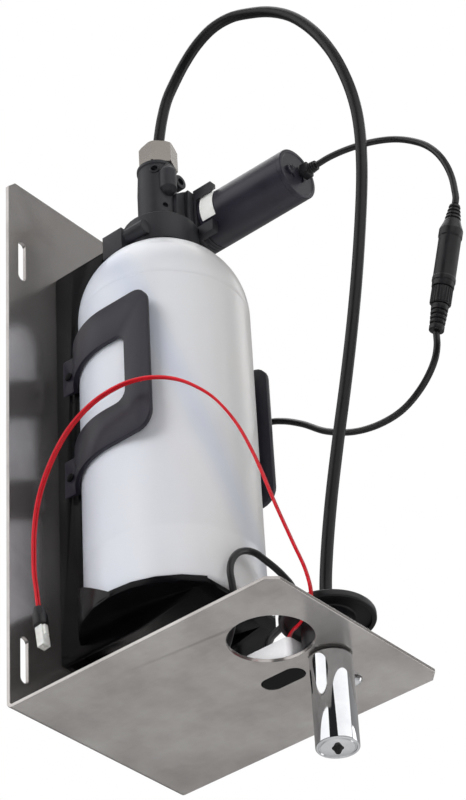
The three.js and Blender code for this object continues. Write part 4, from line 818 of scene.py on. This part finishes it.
def outlet_nut():
    nut = raised("outlet_nut", circle(0, 0, NUT_RADIUS, HEXAGON, NUT_TURN), nut_low, nut_high,
                 AT_OUTLET, 0.15)
    cone = turned("cone", [
        (0, nut_low - 1), (NUT_RADIUS - 2, nut_low - 1), (NUT_RADIUS + 0.5, nut_low + 1),
        (NUT_RADIUS + 0.5, nut_high - NUT_CONE), (NUT_RADIUS - NUT_CONE, nut_high),
        (0, nut_high)], AT_OUTLET)
    combine(nut, "INTERSECT", cone)
    bore = turned("bore", [
        (0, nut_low - 1), (NIPPLE_BORE, nut_low - 1), (NIPPLE_BORE, nut_high - 2.6),
        (HOSE_BORE, nut_high - 2.6), (HOSE_BORE, nut_high - 0.5), (4.2, nut_high + 0.1),
        (0, nut_high + 0.1)], AT_OUTLET)
    combine(nut, "DIFFERENCE", bore)
    return weighed(nut, 20)


fit(outlet_nut(), "nickel", nickel, "fitting_nut", body="fitting_nut")
print("nut from", round(nut_low, 1), "to", round(nut_high, 1), "mm above the shelf")

# %% [markdown]
# ## Gear case, cover and motor clamp
# The gear pump's case, its cover and the clamp that grips the motor are three flat mouldings
# stacked in front of each other. The CAD solids carry their forms, and a rounded edge is what
# they still need.

# %% Gear case, cover and clamp
for node, edge in {"gear_case": 0.3, "gear_cover": 0.15, "motor_clamp": 0.5}.items():
    plate = moulded(node, f"{node}_moulding", edge, "pump_plastic", filled_nylon)
    print(node, "has", len(plate.data.polygons), "faces")

# %% [markdown]
# ## Motor
# The can is drawn from steel, closed by a cap whose edge is rolled over. The cap's face has two
# curved vents and a round terminal cover. A rubber gland leads the cable out of it, with rings
# that let it bend without kinking. The label is left blank.

# %% Motor
(can_start, can_end), (cap_start, cap_end) = [
    [case_face - corner.y / MM for corner in reversed(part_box(node))]
    for node in ("motor_can", "motor_end_cap")]
MOTOR_RADIUS, CAN_WALL, CAP_TERMINAL, SHAFT_HOLE = 14.4, 1.2, 1.2, 2.2
VENT_RADIUS, VENT_WIDTH, VENT_TURN, VENT_STARTS = 4.6, 1.4, 1.9, (2.2, 5.4)
cap_face, can_floor, can_bore = cap_end - CAP_TERMINAL, can_start + 1.3, MOTOR_RADIUS - CAN_WALL


def ring_part(radius, width, start, end, corners=16):
    """The outline of a part of a flat ring, between two angles."""
    turns = [start + (end - start) * corner / corners for corner in range(corners + 1)]
    outer, inner = [[polar(size, turn) for turn in turns]
                    for size in (radius + width / 2, radius - width / 2)]
    return outer + inner[::-1]


can = turned("motor_can_shell", [
    (can_bore, can_start), (MOTOR_RADIUS, can_start, 0.3), (MOTOR_RADIUS, can_end, 0.1),
    (can_bore, can_end), (can_bore, can_floor + CAN_WALL), (SHAFT_HOLE, can_floor + CAN_WALL),
    (SHAFT_HOLE, can_floor), (can_bore, can_floor)], AT_PUMP, closed=True)
cap = turned("motor_cap", [
    (0, cap_start), (MOTOR_RADIUS, cap_start - 0.25, 0.1), (MOTOR_RADIUS, cap_face, 0.7),
    (MOTOR_RADIUS - 2, cap_face, 0.2), (MOTOR_RADIUS - 2.3, cap_face - 0.35, 0.2),
    (0, cap_face - 0.35)], AT_PUMP)
cover = turned("cover", [(0, cap_face - 1), (2.6, cap_face - 1), (2.6, cap_end, 0.4),
                         (1.6, cap_end, 0.1), (1.5, cap_end - 0.5, 0.1), (0, cap_end - 0.5)],
               at(AT_PUMP, -6.4, -1), 48)
combine(cap, "UNION", cover)
combine(cap, "DIFFERENCE", *[
    raised("vent", ring_part(VENT_RADIUS, VENT_WIDTH, start, start + VENT_TURN), cap_face - 0.9,
           cap_face + 1, AT_PUMP) for start in VENT_STARTS])
fit(can, "motor_black", painted_steel, "motor_can")
fit(weighed(cap), "motor_black", painted_steel, "motor_end_cap")
print("motor can is", round(can_end - can_start, 1), "mm long")

# %% Motor gland and label
GLAND_RINGS, GLAND_HALF_X, GLAND_HALF_Y, GLAND_RADIUS = 3, 3.2, 3.6, 3.1
AT_GLAND = at(AT_PUMP, 4.3, 3.0)
SQUARE = ((-1, -1), (1, -1), (1, 1), (-1, 1))
gland_start = cap_face + 0.3
gland_block, gland_end = gland_start + 4.6, gland_start + 9.0


def ringed(start, end, wide, narrow, rings, depth):
    """A tapered sleeve's section with grooves round it, between two heights."""
    step = (end - start) / (2 * rings + 1)
    points = []
    for ring in range(rings):
        low = start + step * (2 * ring + 1)
        size = wide + (narrow - wide) * (low - start) / (end - start)
        points += [(size, low, 0.15), (size - depth, low + 0.15, 0.15),
                   (size - depth, low + step - 0.15, 0.15), (size, low + step, 0.15)]
    return points


gland = raised("motor_gland_boot", [(x * GLAND_HALF_X, y * GLAND_HALF_Y, 1) for x, y in SQUARE],
               gland_start, gland_block, AT_GLAND, 0.4)
taper = turned("taper", [
    (0, gland_start + 1), (GLAND_RADIUS, gland_start + 1), (GLAND_RADIUS, gland_block, 0.3),
    *ringed(gland_block, gland_end, GLAND_RADIUS, 2.7, GLAND_RINGS, 0.5), (2.6, gland_end, 0.3),
    (0, gland_end)], AT_GLAND, 48)
fit(weighed(combine(gland, "UNION", taper)), "rubber", connector_black, "motor_gland")
label_paper = drifting("coated_label_paper", "#e9e9e6", "#f8f8f6", (0.35, 0.5), 4, 0.5, 0.01)
LABEL_OFF, LABEL_THICK, LABEL_TURN = 0.44, 0.26, 0.56
label = raised("motor_label", ring_part(MOTOR_RADIUS + LABEL_OFF, LABEL_THICK,
                                        math.pi - LABEL_TURN, math.pi + LABEL_TURN, 24),
               can_floor + 0.9, can_floor + 9.7, AT_PUMP)
fit(label, "paper", label_paper, "rating_label")
print("gland ends", round(gland_end - cap_face, 1), "mm off the motor's cap")

# %% [markdown]
# ## Spout
# The spout is a thick brass tube, turned and chrome plated, and closed at the top by the shank
# that goes through the shelf. A small rubber nozzle shows in its open foot. The big hand nut above
# the shelf holds it: a wide disc on a hub, so that it can be turned by hand behind a mirror.

# %% Spout, nozzle and hand nut
spout_low, spout_high = levels("spout_tube")
SPOUT_RADIUS, SPOUT_WALL, FOOT, SHANK, SHANK_BORE = 10.0, 1.6, 2.0, 7.5, 3.5
NOZZLE, NOZZLE_RIM, SPOUT_TOP = 2.4, 5.6, -1.2
NUT_BORE, NUT_HUB, NUT_RIM, NUT_DISC = 7.9, 12.6, 20.1, 22.5
NUT_FOOT, RIM_LEVEL, DISC_LEVEL, NUT_TOP = 2.3, 18.5, 20.1, 22.5
spout_inner, spout_ceiling = SPOUT_RADIUS - SPOUT_WALL, SPOUT_TOP - SPOUT_WALL
nozzle_low, rim_low, rim_high = levels("spout_nozzle")[0], spout_low + 2.3, spout_low + 3.9
spout = turned("spout_barrel", [
    (NOZZLE + 0.3, spout_low), (SPOUT_RADIUS - 2.2, spout_low, 0.3),
    (SPOUT_RADIUS - 1.9, spout_low + 0.5, 0.2), (SPOUT_RADIUS - 1.5, spout_low + 0.5, 0.2),
    (SPOUT_RADIUS - 1.2, spout_low, 0.2), (SPOUT_RADIUS, spout_low, 0.8),
    (SPOUT_RADIUS, SPOUT_TOP, 0.4), (SHANK, SPOUT_TOP, 0.2), (SHANK, spout_high, 0.4),
    (SHANK_BORE, spout_high, 0.3), (SHANK_BORE, spout_ceiling), (spout_inner, spout_ceiling),
    (spout_inner, spout_low + FOOT), (NOZZLE + 0.3, spout_low + FOOT)], AT_SPOUT, 160, True)
nozzle = turned("spout_nozzle_tip", [
    (0.6, nozzle_low, 0.1), (1.1, nozzle_low, 0.2), (1.9, nozzle_low + 1.6, 0.3),
    (NOZZLE, nozzle_low + 2.6, 0.3), (NOZZLE, rim_low, 0.1), (NOZZLE_RIM, rim_low, 0.3),
    (NOZZLE_RIM, rim_high, 0.3), (0.6, rim_high, 0.2)], AT_SPOUT, 64, True)
hand_nut = turned("spout_hand_nut", [
    (NUT_BORE, NUT_FOOT), (NUT_HUB, NUT_FOOT, 0.8), (NUT_HUB, DISC_LEVEL, 1.0),
    (NUT_RIM, DISC_LEVEL, 0.4), (NUT_RIM, RIM_LEVEL, 0.4), (NUT_DISC, RIM_LEVEL, 0.8),
    (NUT_DISC, NUT_TOP, 1.4), (NUT_BORE, NUT_TOP, 0.6)], AT_SPOUT, 128, True)
fit(spout, "chrome", chrome, "spout_tube")
fit(nozzle, "rubber", nitrile, "spout_nozzle")
fit(hand_nut, "rubber", connector_black, "spout_nut", body="spout_nut")
print("spout hangs", round(-spout_low, 1), "mm below the shelf")

# %% [markdown]
# ## Sensor
# An infrared sensor sits above the slot in the shelf. What shows from below is its black acrylic
# window, flush with the sheet, and through the round hole its pale housing. The window is a lens
# with a lip that rests on the shelf.

# %% Sensor window and housing
WINDOW, LIP = (22.6, 10.2), (24.0, 11.6)
window = raised("sensor_window_lens", slot(0, 0, *WINDOW), 0.3, 2.8, AT_SENSOR, 0.3)
combine(window, "UNION", raised("lip", slot(0, 0, *LIP), 2.3, 3.3, AT_SENSOR, 0.2))
fit(weighed(window), "window_plastic", acrylic, "sensor_window")
moulded("sensor_housing", "sensor_case_moulding", 0.5, "housing_plastic", abs_light)
print("sensor window is", WINDOW[0], "by", WINDOW[1], "mm")

# %% [markdown]
# ## Connectors on the leads
# The motor's lead ends in a round socket, the sensor's lead in a plug, and a ribbed ring couples
# them. Both have a boot that tapers on to the cable and is grooved, so that the cable bends in an
# even curve. The red wires end in a small white nylon plug with a black sleeve.

# %% Sockets, boots and the small plug
SOCKET_END, RING_END, BOOT_END = 46.7, 56.0, 70.3
socket = turned("lead_socket_body", [
    (0, 0.3), (2.6, 0.3, 0.4), *ringed(0.8, 10.2, 2.8, 4.3, 4, 0.7), (4.4, 10.7, 0.6),
    (5.9, 14.7, 1.2), (5.9, 18.7, 0.4), (5.55, 19.4, 0.3), (5.55, 41, 0.3), (5.8, 41.6, 0.3),
    (5.8, 43.4, 0.3), (5.5, 44, 0.3), (5.5, SOCKET_END, 0.4), (0, SOCKET_END)], AT_PLUG, 72)
plug = turned("lead_plug_boot", [
    (0, SOCKET_END + 0.3), (3.6, SOCKET_END + 0.3, 0.3), (3.6, RING_END + 0.3, 0.1),
    (4.3, RING_END + 0.3, 0.4), *ringed(RING_END + 2, BOOT_END - 1.5, 4.25, 3.6, 4, 0.8),
    (3.7, BOOT_END, 0.6), (0, BOOT_END)], AT_PLUG, 72)
wire_plug = moulded("wire_connector", "wire_connector_shell", 0.3, "white_nylon", nylon_white)
sleeve = turned("wire_connector_sleeve", [
    (0, 11.7), (3.7, 11.7, 0.5), (3.7, 17.2, 0.8), (2.6, 22.7, 0.5), (0, 22.7)], AT_WIRE_END, 48)
for piece, node in ((socket, "lead_socket"), (plug, "lead_plug"), (sleeve, "wire_sleeve")):
    fit(piece, "rubber", connector_black, node)
print("inline connector is", BOOT_END, "mm long")

# %% [markdown]
# ## Coupling ring with Geometry Nodes
# The ring that couples the plug and socket has ribs all round for the fingers. Ribs that repeat at
# even steps are what Geometry Nodes do best: one rib is made once, and its number, length and
# thickness stay inputs of the tree, so that they can be tried until they match.

# %% Coupling ring
def new_tree(name, **sockets):
    """A tree with these inputs beside its geometry, and what its input node gives."""
    tree = bpy.data.node_groups.new(name, "GeometryNodeTree")
    for socket_name, kind in {"Geometry": "Geometry", **sockets}.items():
        tree.interface.new_socket(socket_name, in_out="INPUT", socket_type=f"NodeSocket{kind}")
    tree.interface.new_socket("Geometry", in_out="OUTPUT", socket_type="NodeSocketGeometry")
    return tree, add(tree, "NodeGroupInput").outputs


def end_tree(tree, geometry, finish):
    """Realizes the instances, sets their material and leads them to the tree's output."""
    real = add(tree, "GeometryNodeRealizeInstances", {"Geometry": geometry})
    dressed = add(tree, "GeometryNodeSetMaterial", {"Geometry": real, "Material": finish})
    add(tree, "NodeGroupOutput", {"Geometry": dressed})


def grow(piece, tree, **values):
    """Runs a tree on a piece with its inputs set, and keeps the result as a plain mesh."""
    modifier = piece.modifiers.new(tree.name, "NODES")
    modifier.node_group = tree
    for item in tree.interface.items_tree:
        if item.in_out == "INPUT" and item.name.lower() in values:
            modifier[item.identifier] = values[item.name.lower()]
    return settle(piece)


ribs, given = new_tree("finger_ribs", Count="Int", Radius="Float", Start="Float",
                       Length="Float", Thickness="Float")
ring = add(ribs, "GeometryNodeMeshCircle", {"Vertices": given["Count"], "Radius": given["Radius"]})
foot = add(ribs, "ShaderNodeCombineXYZ", {"Z": given["Start"]})
lifted = add(ribs, "GeometryNodeSetPosition", {"Geometry": ring, "Offset": foot})
tip = add(ribs, "ShaderNodeCombineXYZ", {"Z": given["Length"]})
line = add(ribs, "GeometryNodeCurvePrimitiveLine", {"End": tip})
section = add(ribs, "GeometryNodeCurvePrimitiveCircle", {"Resolution": 8,
                                                         "Radius": given["Thickness"]})
rib = add(ribs, "GeometryNodeCurveToMesh", {"Curve": line, "Profile Curve": section,
                                            "Fill Caps": True})
many = add(ribs, "GeometryNodeInstanceOnPoints", {"Points": lifted, "Instance": rib})
with_ring = add(ribs, "GeometryNodeJoinGeometry")
for geometry in (many, given["Geometry"]):
    feed(ribs, with_ring, {0: geometry})
end_tree(ribs, with_ring, connector_black)

COUPLING_BORE, COUPLING_RADIUS, RIBS, RIB_THICKNESS = 3.9, 4.9, 22, 0.38
coupling = turned("coupling_ring", [
    (COUPLING_BORE, SOCKET_END + 0.3), (COUPLING_RADIUS, SOCKET_END + 0.3, 0.3),
    (COUPLING_RADIUS, RING_END, 0.3), (COUPLING_BORE, RING_END)], Matrix(), 72, True)
grow(coupling, ribs, count=RIBS, radius=4.88, start=SOCKET_END + 0.7,
     length=RING_END - SOCKET_END - 1.1, thickness=RIB_THICKNESS)
coupling.data.transform(AT_PLUG)
fit(smooth(coupling, 50), "rubber", connector_black, "coupling_nut", body="coupling_nut")
print("coupling ring has", len(coupling.data.polygons), "faces")

# %% [markdown]
# ## Screws and rivets with Geometry Nodes
# Fasteners repeat too, and they point different ways. Each kind is drawn once, standing on its own
# axis. A loose mesh of points marks where they go, with a vector on each point for the way that it
# faces, and one tree puts a copy on every point and turns it to that vector.

# %% Fasteners
fasteners, given = new_tree("fasteners_on_points", Pattern="Object")
pattern = add(fasteners, "GeometryNodeObjectInfo", {"Object": given["Pattern"]})
way = add(fasteners, "GeometryNodeInputNamedAttribute", {"Name": "way"},
          data_type="FLOAT_VECTOR")
turn = add(fasteners, "FunctionNodeAlignRotationToVector", {"Vector": way}, axis="Z")
placed = add(fasteners, "GeometryNodeInstanceOnPoints", {
    "Points": given["Geometry"], "Instance": pattern.outputs["Geometry"], "Rotation": turn})
end_tree(fasteners, placed, zinc)


def set_fasteners(name, pattern_piece, spots, where):
    """A copy of the pattern at each spot, a point and the way that it faces, in millimetres."""
    data = bpy.data.meshes.new(name)
    data.from_pydata([point for point, _ in spots], [], [])
    ways = data.attributes.new("way", "FLOAT_VECTOR", "POINT")
    for item, (_, facing) in zip(ways.data, spots):
        item.vector = facing
    piece = grow(add_object(name, data), fasteners, pattern=pattern_piece)
    bpy.data.objects.remove(pattern_piece)
    piece.data.transform(where)
    return smooth(piece)


def pan_screw(shank, head, height, length):
    """A cross-recessed screw that stands on its head's underside, at the origin."""
    screw = turned("screw", [(0, -length), (shank - 0.4, -length, 0.2), (shank, -length + 0.8),
                             (shank, 0), (head, 0, 0.15), (head, height * 0.45, 0.5),
                             (head * 0.55, height, 0.8), (0, height)], Matrix(), 40)
    arm, width = head * 0.55, head * 0.13
    cross, quarter = [], [(width, arm), (-width, arm), (-width, width)]
    for _ in range(4):
        cross += quarter
        quarter = [(-y, x) for x, y in quarter]
    return combine(screw, "DIFFERENCE", raised("cross", cross, height * 0.35, height + 1, Matrix()))


def rivet(shank, head, height, length):
    return turned("rivet", [(0, -length), (shank, -length, 0.2), (shank, 0), (head, 0, 0.2),
                            (head * 0.8, height * 0.75, 0.8), (0, height)], Matrix(), 32)


CAGE_SIDE, ARM_GAP, RIVET_LEVELS, CASE_HEAD = 25.0, 3.2, (139, 201), 1.0
OUT_X, FORWARD, CASE_FORWARD = Vector((1, 0, 0)), Vector((0, -1, 0)), Vector((0, 0, 1))
spots = [((side * (CAGE_SIDE + ARM_GAP), -13, level), OUT_X * side)
         for side in (-1, 1) for level in RIVET_LEVELS]
rivets = set_fasteners("arm_rivets", rivet(1.3, 2.5, 0.8, 5.4), spots, AT_SHELF)
fit(rivets, "arm_plastic", abs_black, *[f"arm_rivet_{side}_{level}" for side in ("left", "right")
                                        for level in ("lower", "upper")])
spots = [((0, -5, level), FORWARD) for level in SCREW_LEVELS]
screws = set_fasteners("cage_screws", pan_screw(1.9, 3.8, 1.7, 4.6), spots, AT_SHELF)
fit(screws, "zinc_steel", zinc, "cage_screw_1", "cage_screw_2")
head_level = case_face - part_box("case_screw_1")[0].y / MM - CASE_HEAD
spots = [((x, y, head_level), CASE_FORWARD) for x in (-4.8, 4.8) for y in (-9, 9)]
screws = set_fasteners("case_screws", pan_screw(1.2, 2.2, CASE_HEAD, 11.4), spots, AT_PUMP)
fit(screws, "zinc_steel", zinc, *[f"case_screw_{number}" for number in (1, 2, 3, 4)])
print("rivets and screws placed")

# %% [markdown]
# ## Earth screw
# A small screw for an earth wire goes through the shelf. It shows as a domed chrome head below,
# and a plain hexagon nut holds it from above. The wire itself isn't in the photograph.

# %% Earth screw and nut
earth = turned("earth_screw_dome", [
    (0, -2.8), (1.3, -2.75, 0.3), (2.4, -2.15, 0.6), (3.1, -1.1, 0.5), (3.3, -0.3, 0.15),
    (1.9, -0.3), (1.9, 6.6), (1.5, 6.9, 0.2), (0, 6.9)], AT_EARTH, 64)
earth_nut = raised("earth_hexagon_nut", circle(0, 0, 4, HEXAGON), 2.3, 5.5, AT_EARTH, 0.25,
                   [circle(0, 0, SCREW_HOLE)])
fit(earth, "chrome", chrome, "earth_screw")
fit(weighed(earth_nut), "zinc_steel", zinc, "earth_nut")
print("earth screw at", earth_axis)

# %% [markdown]
# ## The works inside
# Gears, rotor, magnets, ball, gaskets, dip tube and the sensor's board are hidden until something
# is taken off, but they are real parts, so each CAD node gets its own finish. A green board is
# glass cloth in epoxy under a solder mask, with the copper tracks showing as slightly paler lines.

# %% Circuit board finish
board, tree, shader, where = new_finish("glass_epoxy_circuit_board", IOR=1.55, Roughness=0.35)
tracks = add(tree, "ShaderNodeTexBrick", {
    "Vector": where, "Scale": per_metre(3), "Mortar Size": 0.08, "Color1": linear("#17502c"),
    "Color2": linear("#1b5a33"), "Mortar": linear("#3f8a55")})
feed(tree, shader, {"Base Color": tracks, "Normal": relief(tree, noise(tree, where, 0.5), 0.02)})

inside = {
    nitrile: ["neck_gasket", "spout_gasket"], clear_tube: ["dip_tube"],
    nickel: ["hose_ferrule"], acetal: ["drive_gear", "driven_gear"],
    zinc: ["driven_gear_pin", "motor_shaft", "inlet_ball"],
    ferrite: ["motor_magnet_right", "motor_magnet_left"],
    copper: ["armature_core", "commutator"], board: ["sensor_board"],
    acrylic: ["ir_emitter", "ir_receiver"]}
for finish, names in inside.items():
    for name in names:
        nodes[name].data.materials.clear()
        nodes[name].data.materials.append(finish)
print(sum(len(names) for names in inside.values()), "inner nodes finished")

# %% [markdown]
# ## Cords
# A cord is a fixed length of something flexible. Here there are five: the hose, the two leads
# and the two red wires, drawn above as curves with their real diameters.

# %% Cords
print("five cords: the hose, two leads and two red wires")

# %% [markdown]
# ## Floor, world and lights
# The photograph is a studio shot on white. Large soft lights stand round the object, and the dark
# gap between the two biggest is the black stripe down the chrome spout. A pale floor lies well
# below the object, because the camera looks up and the shelf's underside mirrors the floor. The
# world is a soft gradient, brighter towards the right, and plain white where the camera sees it.
# The last two lights only fill the shadows, so they don't show in any reflection.

# %% Floor
FLOOR_LEVEL, FLOOR_HALF = -1.2, 6.0
floor_data = bpy.data.meshes.new("floor")
floor_data.from_pydata([(x * FLOOR_HALF, y * FLOOR_HALF, FLOOR_LEVEL) for x, y in SQUARE], [],
                       [(0, 1, 2, 3)])
floor = add_object("floor", floor_data)
floor_data.materials.append(drifting("painted_studio_floor", "#dcdcdc", "#e6e6e6", (0.7, 0.8),
                                     400, 8, 0.05))
print("floor", round(-FLOOR_LEVEL, 2), "m below the middle of the plate")

# %% World
world = bpy.data.worlds.new("studio")
scene.world = world
world.use_nodes = True
tree = world.node_tree
tree.nodes.clear()
way = add(tree, "ShaderNodeTexCoord").outputs["Generated"]
lit_from = blend(tree, lies_along(tree, way, (1.0, 0.1, 0.0)), -0.7, 0.9, 0, 1)
around = add(tree, "ShaderNodeBackground", {
    "Color": blend(tree, lit_from, 0, 1, "#262628", "#969696"), "Strength": 1.0})
behind = add(tree, "ShaderNodeBackground", {"Color": (1, 1, 1, 1), "Strength": 1.0})
seen = add(tree, "ShaderNodeLightPath").outputs["Is Camera Ray"]
either = add(tree, "ShaderNodeMixShader", {0: seen, 1: around, 2: behind})
add(tree, "ShaderNodeOutputWorld", {"Surface": either})
print("world made")


# %% Lights
def softbox(name, where, target, size, power):
    light = having(bpy.data.lights.new(name, "AREA"), shape="RECTANGLE", size=size[0],
                   size_y=size[1], energy=power)
    facing = (Vector(target) - Vector(where)).to_track_quat("-Z", "Y").to_euler()
    return having(add_object(name, light), location=where, rotation_euler=facing)


OBJECT_MIDDLE = (0, -0.1, 0)
softbox("key", (-0.255, -1.61, 1.12), OBJECT_MIDDLE, (2.8, 1.5), 13.5)
softbox("fill", (1.2, -1.3, -0.1), OBJECT_MIDDLE, (0.8, 1.4), 5)
softbox("left", (-1.39, 0.8, 1.0), OBJECT_MIDDLE, (2.6, 1.3), 12)
softbox("top", (0.1, 0.2, 1.4), OBJECT_MIDDLE, (1.2, 1.2), 7)
softbox("ground", (1.5, 0.5, -0.1), (1.5, 0.5, FLOOR_LEVEL), (1.6, 1.6), 8.5)
softbox("card", (1.55, -0.5, 1.3), (0, -0.1, 0.1), (0.7, 0.7), 2.6)
for name, where, power in (("side", (-1.9, -0.1, 0.4), 17), ("below", (-0.9, -0.9, -0.9), 7)):
    softbox(name, where, OBJECT_MIDDLE, (1.0, 1.0), power).visible_glossy = False
scene.view_settings.view_transform = "Standard"
print("eight lights")
